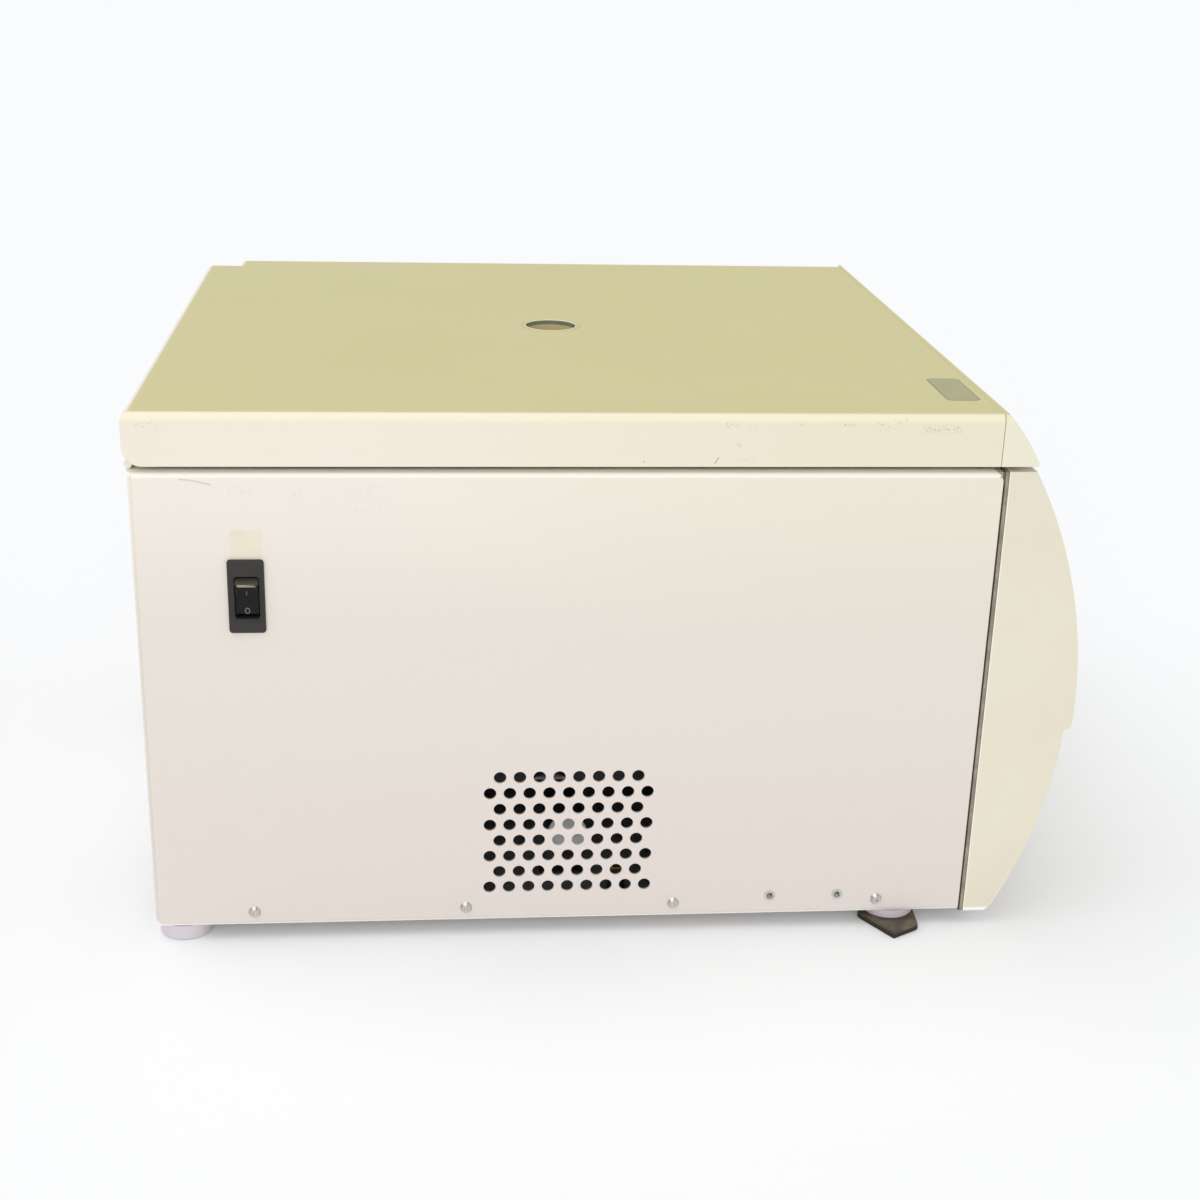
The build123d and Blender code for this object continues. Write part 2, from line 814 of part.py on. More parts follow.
# Rotor
shaft_low_z = motor_low_z + 4
hub_low_z = pivot_z - hub_drop
nut_low_z = hub_low_z + hub_height
with BuildPart() as drive_shaft:
    with BuildSketch(turning_plane):
        with BuildLine():
            Polyline(
                (0, shaft_low_z),
                (shaft_radius, shaft_low_z),
                (shaft_radius, nose_top_z + 2),
                (shaft_neck_radius + 5, nose_top_z + 4),
                (shaft_neck_radius + 5, hub_low_z),
                (shaft_neck_radius, hub_low_z),
                (shaft_radius + 1, nut_low_z),
                (stud_radius, nut_low_z),
                (stud_radius, nut_low_z + stud_length),
                (0, nut_low_z + stud_length),
                close=True,
            )
        make_face()
    revolve(axis=spin_axis)
finish(drive_shaft, "drive_shaft")

rail_inner = carrier_length / 2 + 2.5
rail_centre = rail_inner + rail_thickness / 2
rail_end = pivot_radius + rail_half_height
pivot_xs = [-pivot_radius, pivot_radius]
with BuildPart() as rotor_yoke:
    with BuildSketch(Plane.XY.offset(pivot_z - rail_half_height)) as yoke_plan:
        with Locations((0, chamber_y)):
            Rectangle(yoke_web, 2 * rail_centre)
        with Locations((0, chamber_y - rail_centre), (0, chamber_y + rail_centre)):
            Rectangle(2 * pivot_radius, rail_thickness)
        corners = [
            v for v in yoke_plan.vertices()
            if abs(abs(v.X) - yoke_web / 2) < 0.1 and abs(v.Y - chamber_y) < rail_centre
        ]
        fillet(corners, yoke_corner)
        with Locations((0, chamber_y - hub_radius - 22), (0, chamber_y + hub_radius + 22)):
            SlotOverall(34, 16, mode=Mode.SUBTRACT)
    extrude(amount=yoke_web_thickness)
    for side in (-1, 1):
        with BuildSketch(Plane.XZ.offset(-chamber_y - side * rail_centre - rail_thickness / 2)):
            with Locations((0, pivot_z)):
                SlotOverall(2 * rail_end, 2 * rail_half_height)
        extrude(amount=rail_thickness)
    with BuildSketch(Plane.XY.offset(hub_low_z)):
        with Locations((0, chamber_y)):
            Circle(hub_radius)
    extrude(amount=hub_height, taper=4)
    with BuildSketch(turning_plane):
        with BuildLine():
            Polyline(
                (0, hub_low_z - 1),
                (shaft_neck_radius + bearing_gap, hub_low_z - 1),
                (shaft_neck_radius + bearing_gap, hub_low_z),
                (shaft_radius + 1 + bearing_gap, nut_low_z),
                (0, nut_low_z),
                close=True,
            )
        make_face()
    revolve(axis=spin_axis, mode=Mode.SUBTRACT)
    with BuildSketch(Plane.XZ.offset(-chamber_y - rail_end)):
        with Locations(*[(x, pivot_z) for x in pivot_xs]):
            Circle(trunnion_radius + 0.02)
    extrude(amount=2 * rail_end, mode=Mode.SUBTRACT)
finish(rotor_yoke, "rotor_yoke")

pin_tip = carrier_length / 2 - carrier_wall + 0.2
with BuildPart() as trunnion_pins:
    for side in (-1, 1):
        start = chamber_y + side * pin_tip
        with BuildSketch(Plane.XZ.offset(-start)):
            with Locations(*[(x, pivot_z) for x in pivot_xs]):
                Circle(trunnion_radius)
        extrude(amount=-side * (rail_inner + rail_thickness - pin_tip))
finish(trunnion_pins, "trunnion_pins")

with BuildPart() as rotor_nut:
    with BuildSketch(turning_plane):
        with BuildLine():
            Polyline(
                (stud_radius + bearing_gap, nut_low_z),
                (nut_radius, nut_low_z),
                (nut_radius, nut_low_z + nut_height - 5),
                (nut_radius - 4, nut_low_z + nut_height),
                (0, nut_low_z + nut_height),
                (0, nut_low_z + stud_length + 1),
                (stud_radius + bearing_gap, nut_low_z + stud_length + 1),
                close=True,
            )
        make_face()
    revolve(axis=spin_axis)
    with BuildSketch(Plane.XY.offset(nut_low_z + nut_height)):
        with Locations((0, chamber_y)):
            RegularPolygon(5.5, 6)
    extrude(amount=-4, mode=Mode.SUBTRACT)
finish(rotor_nut, "rotor_nut")


def make_plate_carrier(side):
    """Open-sided bucket for one microplate; side is -1 for the left and 1 for the right."""
    x = side * pivot_radius
    low_z = pivot_z - carrier_depth
    rim_z = pivot_z + carrier_rim_rise
    with BuildPart() as carrier:
        with BuildSketch(Plane.XY.offset(low_z)):
            with Locations((x, chamber_y)):
                RectangleRounded(carrier_width, carrier_length, carrier_corner)
        extrude(amount=rim_z - low_z)
        offset(amount=-carrier_wall, openings=carrier.faces().sort_by(Axis.Z)[-1])
        side_cut_low = low_z + carrier_side_height
        with BuildSketch(Plane.YZ.offset(x - carrier_width)):
            with Locations((chamber_y, (side_cut_low + rim_z + 1) / 2)):
                Rectangle(carrier_length - 2 * carrier_post_width, rim_z + 1 - side_cut_low)
        extrude(amount=2 * carrier_width, mode=Mode.SUBTRACT)
        with BuildSketch(Plane.XZ.offset(-chamber_y - carrier_length)):
            with Locations(*[(x + s * carrier_width / 2, rim_z) for s in (-1, 1)]):
                Rectangle(2 * carrier_shoulder_width, 2 * carrier_shoulder_drop)
        extrude(amount=2 * carrier_length, mode=Mode.SUBTRACT)
        with BuildSketch(Plane.XY.offset(low_z)):
            with Locations((x, chamber_y)):
                with GridLocations(1, carrier_drain_spacing, 1, 2):
                    Circle(carrier_drain_radius)
        extrude(amount=carrier_wall, mode=Mode.SUBTRACT)
        for end in (-1, 1):
            with BuildSketch(Plane.XZ.offset(-chamber_y - end * (carrier_length / 2 - 1))):
                with Locations((x, pivot_z)):
                    Circle(trunnion_boss_radius)
            extrude(amount=-end * (rail_inner - carrier_length / 2 + 1 - moving_gap))
        with BuildSketch(Plane.XZ.offset(-chamber_y - carrier_length)):
            with Locations((x, pivot_z)):
                Circle(trunnion_radius + bearing_gap)
        extrude(amount=2 * carrier_length, mode=Mode.SUBTRACT)
    return carrier


plate_carrier_left = make_plate_carrier(-1)
finish(plate_carrier_left, "plate_carrier_left")
plate_carrier_right = make_plate_carrier(1)
finish(plate_carrier_right, "plate_carrier_right")

# Lid
port_top_z = lid_top_z + port_rim_rise
port_outer = port_radius + port_wall
window_top_z = lid_top_z - port_window_depth
window_low_z = window_top_z - port_window_thickness
sheet_under_z = lid_top_z - lid_sheet
with BuildPart() as lid_shell:
    with BuildSketch(Plane.XY.offset(lid_low_z)):
        with Locations((0, (lid_front_y + lid_rear_y) / 2)):
            Rectangle(2 * lid_x, lid_rear_y - lid_front_y)
        with Locations((lid_x, lid_rear_y)):
            Rectangle(2 * lid_notch_width, 2 * lid_notch_depth, mode=Mode.SUBTRACT)
    extrude(amount=lid_height)
    lid_top = lid_shell.faces().sort_by(Axis.Z)[-1]
    fillet(lid_top.edges().sort_by(Axis.Y)[1:], lid_fold_radius)
    openings = [lid_shell.faces().sort_by(Axis.Z)[0], lid_shell.faces().sort_by(Axis.Y)[0]]
    offset(amount=-lid_sheet, openings=openings)
    with BuildSketch(Plane.YZ.offset(-lid_x - 1)):
        with BuildLine():
            corner = (lid_rear_y, lid_low_z)
            low = (lid_rear_y - lid_rear_corner, lid_low_z)
            high = (lid_rear_y, lid_low_z + lid_rear_corner)
            Line(corner, high)
            RadiusArc(high, low, lid_rear_corner)
            Line(low, corner)
        make_face()
    extrude(amount=2 * lid_x + 2, mode=Mode.SUBTRACT)
    with Locations((0, lid_rear_y, lid_low_z)):
        Box(
            2 * (lid_x - lid_sheet), 2 * lid_rear_relief, lid_rear_corner + 1,
            align=(Align.CENTER, Align.CENTER, Align.MIN), mode=Mode.SUBTRACT,
        )
    with Locations((0, chamber_y, lid_top_z)):
        Hole(port_outer + edge_gap, depth=2 * lid_sheet)
finish(lid_shell, "lid_shell")

trim_low_y = lid_front_y - trim_reach
trim_top_z = lid_top_z + trim_rise
trim_top_y = lid_front_y - 2.5
trim_turn_z = lid_low_z + 2.5


def trim_profile(inset):
    """Side outline of the front trim, set in by its wall on all sides but the back."""
    back_y = lid_front_y - trim_gap + inset
    front = trim_low_y + inset
    top = (trim_top_y + 0.3 * inset, trim_top_z - inset)
    turn = (front, trim_turn_z + 0.4 * inset)
    with BuildSketch(Plane.YZ.offset(-lid_x + inset)) as profile:
        with BuildLine():
            Line((back_y, lid_low_z + inset), (back_y, trim_top_z - inset))
            Line((back_y, trim_top_z - inset), top)
            RadiusArc(top, turn, -trim_face_radius + inset)
            Line(turn, (front, lid_low_z + inset))
            Line((front, lid_low_z + inset), (back_y, lid_low_z + inset))
        make_face()
    return profile.sketch


with BuildPart() as lid_front_trim:
    extrude(trim_profile(0), amount=2 * lid_x)
    extrude(trim_profile(trim_wall), amount=2 * (lid_x - trim_wall), mode=Mode.SUBTRACT)
    with BuildSketch(Plane.XY.offset(sheet_under_z)):
        with Locations((0, lid_front_y + (trim_lip - trim_lip_root) / 2)):
            Rectangle(2 * (lid_x - 8), trim_lip + trim_lip_root)
    extrude(amount=-trim_wall)
finish(lid_front_trim, "lid_front_trim")

liner_x = lid_x - lid_sheet - liner_side_gap
liner_front_y = lid_front_y + 2
liner_rear_y = lid_rear_y - liner_rear_gap
boss_x = liner_x - liner_boss_inset
boss_places = [(x, y) for x in (-boss_x, boss_x) for y in (liner_front_y + liner_boss_inset, chamber_y)]
boss_places += [(x, liner_rear_y - liner_boss_inset) for x in (-boss_x / 3, boss_x / 3)]
with BuildPart() as lid_liner:
    with BuildSketch(Plane.XY.offset(liner_low_z)):
        with Locations((0, (liner_front_y + liner_rear_y) / 2)):
            RectangleRounded(2 * liner_x, liner_rear_y - liner_front_y, 8)
        with Locations((liner_x, liner_rear_y)):
            Rectangle(2 * lid_notch_width, 2 * lid_notch_depth, mode=Mode.SUBTRACT)
    extrude(amount=liner_rim)
    offset(amount=-liner_thickness, openings=lid_liner.faces().sort_by(Axis.Z)[-1])
    with BuildSketch(Plane.XY.offset(liner_low_z)):
        with Locations(*boss_places):
            Circle(liner_boss_radius)
    extrude(amount=sheet_under_z - liner_low_z)
    with BuildSketch(Plane.XY.offset(liner_top_z)):
        with Locations((0, chamber_y)):
            Circle(bowl_radius - 10)
            Circle(bowl_radius - 13, mode=Mode.SUBTRACT)
            Circle(port_outer + 4)
    extrude(amount=liner_rib_height)
    with Locations((0, chamber_y, liner_top_z + liner_rib_height + 1)):
        Hole(port_outer + edge_gap, depth=liner_thickness + liner_rib_height + 2)
finish(lid_liner, "lid_liner")

with BuildPart() as port_ring:
    with BuildSketch(turning_plane):
        with BuildLine():
            Polyline(
                (port_radius - port_ledge, liner_low_z),
                (port_outer, liner_low_z),
                (port_outer, lid_top_z),
                (port_outer + port_rim, lid_top_z),
                (port_outer + port_rim, port_top_z),
                (port_radius + 0.6, port_top_z),
                (port_radius, port_top_z - 0.6),
                (port_radius, window_low_z),
                (port_radius - port_ledge, window_low_z),
                close=True,
            )
        make_face()
    revolve(axis=spin_axis)
finish(port_ring, "port_ring")

with BuildPart() as port_window:
    with BuildSketch(Plane.XY.offset(window_low_z)):
        with Locations((0, chamber_y)):
            Circle(port_radius - bearing_gap)
    extrude(amount=port_window_thickness)
finish(port_window, "port_window")

bumper_x = liner_x - bumper_inset
bumper_ys = [liner_front_y + bumper_inset, liner_rear_y - bumper_inset]
with BuildPart() as lid_bumpers:
    with BuildSketch(Plane.XY.offset(liner_low_z)):
        with Locations(*[(x, y) for x in (-bumper_x, bumper_x) for y in bumper_ys]):
            Circle(bumper_radius)
    extrude(amount=deck_top_z + moving_gap - liner_low_z, taper=8)
finish(lid_bumpers, "lid_bumpers")

# Hinges
hinge_y = rear_y - hinge_axis_inset
hinge_z = top_z + hinge_axis_rise
ear_offset = hinge_arm_width / 2 + edge_gap + hinge_ear_thickness / 2
ear_xs = [x + side * ear_offset for x in hinge_xs for side in (-1, 1)]
with BuildPart() as hinge_brackets:
    for x in hinge_xs:
        with BuildSketch(Plane.XY.offset(deck_top_z)):
            with Locations((x, rear_inner_y - inner_fold - hinge_foot_length / 2)):
                RectangleRounded(2 * hinge_ear_x + 16, hinge_foot_length, 4)
        extrude(amount=hinge_foot_thickness)
    for x in ear_xs:
        with BuildSketch(Plane.YZ.offset(x - hinge_ear_thickness / 2)):
            with BuildLine():
                back = hinge_y + hinge_ear_radius
                foot_y = rear_inner_y - inner_fold - hinge_foot_length + 4
                Line((foot_y, deck_top_z), (back - 6, deck_top_z))
                Line((back - 6, deck_top_z), (back, hinge_z))
                RadiusArc((back, hinge_z), (hinge_y - hinge_ear_radius, hinge_z), -hinge_ear_radius)
                Line((hinge_y - hinge_ear_radius, hinge_z), (foot_y, deck_top_z))
            make_face()
        extrude(amount=hinge_ear_thickness)
    with BuildSketch(Plane.YZ.offset(-side_x)):
        with Locations((hinge_y, hinge_z)):
            Circle(hinge_pin_radius + 0.02)
    extrude(amount=body_width, mode=Mode.SUBTRACT)
finish(hinge_brackets, "hinge_brackets")

pin_half = ear_offset + hinge_ear_thickness / 2 + 1
with BuildPart() as hinge_pins:
    for x in hinge_xs:
        with BuildSketch(Plane.YZ.offset(x - pin_half)):
            with Locations((hinge_y, hinge_z)):
                Circle(hinge_pin_radius)
        extrude(amount=2 * pin_half)
        with BuildSketch(Plane.YZ.offset(x - pin_half)):
            with Locations((hinge_y, hinge_z)):
                Circle(hinge_pin_radius + pin_head_reach)
        extrude(amount=-pin_head_reach)
finish(hinge_pins, "hinge_pins")

with BuildPart() as hinge_arms:
    for x in hinge_xs:
        with BuildSketch(Plane.YZ.offset(x - hinge_arm_width / 2)):
            with BuildLine():
                knee = hinge_y - hinge_knuckle_radius
                toe = hinge_y - arm_length
                Line((knee, hinge_z), (knee, sheet_under_z - arm_thickness - 4))
                Line((knee, sheet_under_z - arm_thickness - 4), (knee - 4, sheet_under_z - arm_thickness))
                Line((knee - 4, sheet_under_z - arm_thickness), (toe, sheet_under_z - arm_thickness))
                Line((toe, sheet_under_z - arm_thickness), (toe, sheet_under_z))
                Line((toe, sheet_under_z), (knee + arm_thickness, sheet_under_z))
                Line((knee + arm_thickness, sheet_under_z), (knee + arm_thickness, hinge_z))
                Line((knee + arm_thickness, hinge_z), (knee, hinge_z))
            make_face()
            with Locations((hinge_y, hinge_z)):
                Circle(hinge_knuckle_radius)
                Circle(hinge_pin_radius + bearing_gap, mode=Mode.SUBTRACT)
        extrude(amount=hinge_arm_width)
finish(hinge_arms, "hinge_arms")

# Latch
bar_z = top_z - striker_bar_drop
latch_y = seam_y + latch_setback
latch_z = bar_z - latch_reach
bar_reach = latch_reach * sqrt(2)
hook_inner = bar_reach + striker_rod_radius + hook_gap
hook_outer = hook_inner + hook_wall
with BuildPart() as strikers:
    for x in striker_xs:
        with BuildPart(mode=Mode.PRIVATE) as loop:
            with BuildLine() as rod_line:
                half = striker_width / 2 - striker_rod_radius
                FilletPolyline(
                    (x - half, striker_y, liner_low_z - striker_plate),
                    (x - half, striker_y, bar_z),
                    (x + half, striker_y, bar_z),
                    (x + half, striker_y, liner_low_z - striker_plate),
                    radius=striker_bend,
                )
            with BuildSketch(Plane(rod_line.line @ 0, z_dir=(0, 0, -1))):
                Circle(striker_rod_radius)
            sweep()
        add(loop.part)
        with BuildSketch(Plane.XY.offset(liner_low_z)):
            with Locations((x, striker_y + 4)):
                RectangleRounded(striker_width + 2 * striker_plate_margin, striker_plate_length, 4)
        extrude(amount=-striker_plate)
finish(strikers, "strikers")

with BuildPart() as latch_hooks:
    for x in striker_xs:
        hook_plane = Plane(
            origin=(x - hook_thickness / 2, latch_y, latch_z), x_dir=(0, 1, 0), z_dir=(1, 0, 0)
        )
        with BuildSketch(hook_plane):
            with BuildLine():
                PolarLine((0, 0), hook_outer, hook_start)
                CenterArc((0, 0), hook_outer, hook_start, hook_end - hook_start)
                PolarLine((0, 0), hook_outer, hook_end)
            make_face()
            Circle(hook_hub_radius)
            with BuildLine():
                PolarLine((0, 0), hook_inner, hook_start - 1)
                CenterArc((0, 0), hook_inner, hook_start - 1, hook_end - hook_start - 15)
                PolarLine((0, 0), hook_inner, hook_end - 16)
            make_face(mode=Mode.SUBTRACT)
            Circle(hook_hub_radius)
            Circle(latch_shaft_radius + 0.02, mode=Mode.SUBTRACT)
        extrude(amount=hook_thickness)
finish(latch_hooks, "latch_hooks")

latch_end_x = striker_spacing / 2 + latch_end_room
with BuildPart() as latch_shaft:
    with BuildSketch(Plane.YZ.offset(-latch_end_x - latch_bracket_thickness - 2)):
        with Locations((latch_y, latch_z)):
            Circle(latch_shaft_radius)
    extrude(amount=2 * (latch_end_x + latch_bracket_thickness + 2))
finish(latch_shaft, "latch_shaft")

with BuildPart() as latch_brackets:
    for side in (-1, 1):
        x = side * latch_end_x
        with BuildSketch(Plane.YZ.offset(x - latch_bracket_thickness / 2)):
            with BuildLine():
                Polyline(
                    (latch_y - latch_bracket_top / 2, deck_low_z),
                    (latch_y + latch_bracket_top / 2, deck_low_z),
                    (latch_y + latch_bracket_foot / 2, latch_z - latch_bracket_drop),
                    (latch_y - latch_bracket_foot / 2, latch_z - latch_bracket_drop),
                    close=True,
                )
            make_face()
            with Locations((latch_y, latch_z)):
                Circle(latch_shaft_radius + bearing_gap, mode=Mode.SUBTRACT)
        extrude(amount=latch_bracket_thickness)
        with BuildSketch(Plane.XY.offset(deck_low_z)):
            with Locations((x + side * (latch_bracket_lap / 2 - 1), latch_y)):
                RectangleRounded(latch_bracket_lap, latch_bracket_top, 3)
        extrude(amount=-latch_bracket_thickness)
finish(latch_brackets, "latch_brackets")

with BuildPart() as latch_motor:
    with Locations((0, latch_y, latch_z)):
        Box(gearbox_length, gearbox_width, gearbox_width)
    with BuildSketch(Plane.XY.offset(deck_low_z)):
        with Locations((0, latch_y - 6)):
            RectangleRounded(gearbox_plate_length, gearbox_plate_width, 3)
    extrude(amount=-gearbox_plate_thickness)
    web_x = gearbox_length / 2 - 1.5 * gearbox_web
    with Locations((-web_x, latch_y, latch_z), (web_x, latch_y, latch_z)):
        Box(
            gearbox_web, gearbox_width - 10, deck_low_z - latch_z - 1,
            align=(Align.CENTER, Align.CENTER, Align.MIN),
        )
    with BuildSketch(Plane.XY.offset(latch_z - gearbox_width / 2)):
        with Locations((0, latch_y)):
            Circle(gearbox_motor_radius)
    extrude(amount=-gearbox_motor_length)
    with BuildSketch(Plane.YZ.offset(-gearbox_plate_length)):
        with Locations((latch_y, latch_z)):
            Circle(latch_shaft_radius + bearing_gap)
    extrude(amount=2 * gearbox_plate_length, mode=Mode.SUBTRACT)
finish(latch_motor, "latch_motor")

# Feet and side fasteners
def make_feet(y, low_z):
    """Pair of round plastic feet with steel studs, standing at low_z."""
    with BuildPart() as feet:
        with BuildSketch(Plane.XY.offset(low_z)):
            with Locations((-foot_x, y), (foot_x, y)):
                Circle(foot_radius)
        extrude(amount=base_z - low_z)
        fillet(feet.edges().group_by(Axis.Z)[0], 1.2)
        with BuildSketch(Plane.XY.offset(base_z)):
            with Locations((-foot_x, y), (foot_x, y)):
                Circle(foot_stud_radius)
        extrude(amount=foot_stud_length)
    return feet


front_feet = make_feet(foot_ys[0], pad_thickness)
finish(front_feet, "front_feet")
rear_feet = make_feet(foot_ys[1], 0.0)
finish(rear_feet, "rear_feet")

with BuildPart() as foot_pads:
    for side in (-1, 1):
        corner = (side * (side_x + pad_corner_reach), seam_y + pad_corner_setback)
        pad_plane = Plane(
            origin=(corner[0], corner[1], 0),
            x_dir=(-side * cos(radians(pad_turn)), sin(radians(pad_turn)), 0),
            z_dir=(0, 0, 1),
        )
        with BuildSketch(pad_plane):
            with Locations((pad_length / 2, side * pad_width / 2)):
                RectangleRounded(pad_length, pad_width, 1.5)
        extrude(amount=pad_thickness)
finish(foot_pads, "foot_pads")

with BuildPart() as side_screws:
    for side in (-1, 1):
        for y in screw_ys:
            screw_plane = Plane(
                origin=(side * side_x, y, base_z + screw_rise), x_dir=(0, 1, 0), z_dir=(side, 0, 0)
            )
            with BuildSketch(screw_plane):
                Circle(screw_head_radius)
            extrude(amount=screw_head_height, taper=32)
            with BuildSketch(screw_plane.offset(screw_head_height)):
                RegularPolygon(socket_key_radius, 6)
            extrude(amount=-socket_key_depth, mode=Mode.SUBTRACT)
            with BuildSketch(screw_plane):
                Circle(screw_radius)
            extrude(amount=-screw_length)
finish(side_screws, "side_screws")

with BuildPart() as thread_inserts:
    for side in (-1, 1):
        for y in insert_ys:
            insert_plane = Plane(
                origin=(side * side_x, y, base_z + insert_rise), x_dir=(0, 1, 0), z_dir=(side, 0, 0)
            )
            with BuildSketch(insert_plane):
                Circle(insert_radius)
            extrude(amount=insert_lip)
            with BuildSketch(insert_plane):
                Circle(insert_radius - insert_lip)
            extrude(amount=-insert_length)
            with BuildSketch(insert_plane.offset(1)):
                Circle(insert_bore_radius)
            extrude(amount=-insert_length - 2, mode=Mode.SUBTRACT)
finish(thread_inserts, "thread_inserts")

# Mains switch
bezel_opening_width = rocker_width + 2 * rocker_side_gap
bezel_opening_height = rocker_height + 2 * rocker_end_gap
switch_plane = Plane(origin=(-side_x, switch_y, switch_z), x_dir=(0, -1, 0), z_dir=(-1, 0, 0))
with BuildPart() as switch_bezel:
    with BuildSketch(switch_plane):
        RectangleRounded(switch_width, switch_height, 2)
    extrude(amount=switch_plate)
    fillet(switch_bezel.faces().sort_by(Axis.X)[0].edges(), 0.8)
    with BuildSketch(switch_plane):
        Rectangle(switch_skirt_width, switch_skirt_height)
    extrude(amount=-switch_skirt_depth)
    with BuildSketch(switch_plane.offset(switch_plate)):
        RectangleRounded(bezel_opening_width + 1.6, bezel_opening_height + 1.6, 1)
    extrude(amount=0.6)
    with BuildSketch(switch_plane.offset(switch_plate + 1)):
        Rectangle(bezel_opening_width, bezel_opening_height)
    extrude(amount=-switch_plate - switch_skirt_depth - 2, mode=Mode.SUBTRACT)
    with BuildSketch(Plane.XZ.offset(-switch_y - switch_width)):
        with Locations((-side_x + rocker_axis_depth, switch_z)):
            Circle(rocker_pin_radius + bearing_gap)
    extrude(amount=2 * switch_width, mode=Mode.SUBTRACT)
finish(switch_bezel, "switch_bezel")

with BuildPart() as switch_body:
    with BuildSketch(switch_plane.offset(-switch_skirt_depth)):
        Rectangle(switch_skirt_width - 1, switch_skirt_height - 6)
    extrude(amount=-switch_body_depth)
    with BuildSketch(switch_plane.offset(-switch_skirt_depth - switch_body_depth)):
        with GridLocations(9, 10, 2, 2):
            Rectangle(0.8, 6.3)
    extrude(amount=-switch_tab_length)
finish(switch_body, "switch_body")

rocker_half = rocker_height / 2
rocker_plane = Plane(
    origin=(-side_x + rocker_axis_depth, switch_y + rocker_width / 2, switch_z),
    x_dir=(-cos(radians(rocker_tilt)), 0, -sin(radians(rocker_tilt))),
    z_dir=(0, -1, 0),
)
with BuildPart() as rocker:
    with BuildSketch(rocker_plane):
        with BuildLine():
            Polyline(
                (-rocker_root, rocker_half - rocker_draft),
                (rocker_shoulder, rocker_half),
                (rocker_reach, rocker_half - rocker_slope),
                (rocker_waist, 0),
                (rocker_reach, rocker_slope - rocker_half),
                (rocker_shoulder, -rocker_half),
                (-rocker_root, rocker_draft - rocker_half),
            )
            ThreePointArc(
                (-rocker_root, rocker_draft - rocker_half),
                (-rocker_back, 0),
                (-rocker_root, rocker_half - rocker_draft),
            )
        make_face()
    extrude(amount=rocker_width)
    with BuildSketch(Plane.XZ.offset(-switch_y - rocker_width / 2 - rocker_pin_reach)):
        with Locations((-side_x + rocker_axis_depth, switch_z)):
            Circle(rocker_pin_radius)
    extrude(amount=rocker_width + 2 * rocker_pin_reach)
finish(rocker, "rocker")

# Control panel
gap_angle = arc_angle(edge_gap)
lap_angle = arc_angle(panel_flange_lap)
key_names = ["open_key", "start_key", "stop_key"]
key_xs = [-key_pitch, 0.0, key_pitch]
knob_xs = [knob_inset - panel_width / 2, panel_width / 2 - knob_inset]
plate_radius = face_radius - 0.5
with BuildPart() as control_panel:
    extrude(
        face_band(
            plate_radius, panel_thickness, panel_low_angle + gap_angle, panel_high_angle - gap_angle,
            panel_width - 2 * edge_gap,
        ),
        amount=panel_width - 2 * edge_gap,
    )
    extrude(
        face_band(
            panel_inner, panel_flange_thickness, panel_low_angle - lap_angle,
            panel_high_angle + lap_angle, panel_width + 2 * panel_flange_lap,
        ),
        amount=panel_width + 2 * panel_flange_lap,
    )
    extrude(
        face_band(plate_radius + 1, window_thickness + 1, window_low_angle, window_high_angle, window_width),
        amount=window_width, mode=Mode.SUBTRACT,
    )
    lip_angle = arc_angle(window_lip)
    extrude(
        face_band(
            plate_radius + 1, 12, window_low_angle + lip_angle, window_high_angle - lip_angle,
            window_width - 2 * window_lip,
        ),
        amount=window_width - 2 * window_lip, mode=Mode.SUBTRACT,
    )
    for x in key_xs:
        with BuildSketch(face_plane(key_angle, -2, x)):
            RectangleRounded(key_width + 2 * moving_gap, key_height + 2 * moving_gap, 3)
        extrude(amount=-14, mode=Mode.SUBTRACT)
    for x in knob_xs:
        with BuildSketch(face_plane(board_angle, -2, x)):
            Circle(knob_shaft_radius + 1)
        extrude(amount=-14, mode=Mode.SUBTRACT)
finish(control_panel, "control_panel")

with BuildPart() as display_window:
    extrude(
        face_band(
            plate_radius, window_thickness, window_low_angle + gap_angle,
            window_high_angle - gap_angle, window_width - 2 * edge_gap,
        ),
        amount=window_width - 2 * edge_gap,
    )
finish(display_window, "display_window")

board_front = face_plane(board_angle, board_depth)
with BuildPart() as panel_board:
    with BuildSketch(board_front):
        Rectangle(panel_width - 2 * board_margin, board_width)
    extrude(amount=-board_thickness)
    with BuildSketch(board_front):
        with Locations(*[(x, 0) for x in knob_xs]):
            RectangleRounded(encoder_width, encoder_width, 1)
    extrude(amount=encoder_height)
    with BuildSketch(board_front.offset(encoder_height + 1)):
        with Locations(*[(x, 0) for x in knob_xs]):
            Circle(knob_shaft_radius + bearing_gap)
    extrude(amount=-encoder_height - 1, mode=Mode.SUBTRACT)
    for x in key_xs:
        with BuildSketch(face_plane(key_angle, board_depth - key_switch_gap, x)):
            Rectangle(key_switch_width, key_switch_width)
        extrude(amount=-key_switch_gap - 0.5)
    with BuildSketch(board_front.offset(-board_thickness)):
        with Locations((-90, -20), (-40, -24), (60, -20), (100, 10)):
            Rectangle(22, 16)
    extrude(amount=-3)
    with BuildSketch(board_front.offset(-board_thickness)):
        with GridLocations(panel_width - 2 * board_margin - 10, board_width - 10, 2, 2):
            Circle(3)
    extrude(amount=-board_pillar_height)
finish(panel_board, "panel_board")

with BuildPart() as display_module:
    with BuildSketch(board_front):
        with Locations((0, 24)):
            RectangleRounded(window_width - 6, display_height, 2)
    extrude(amount=display_thickness)
finish(display_module, "display_module")


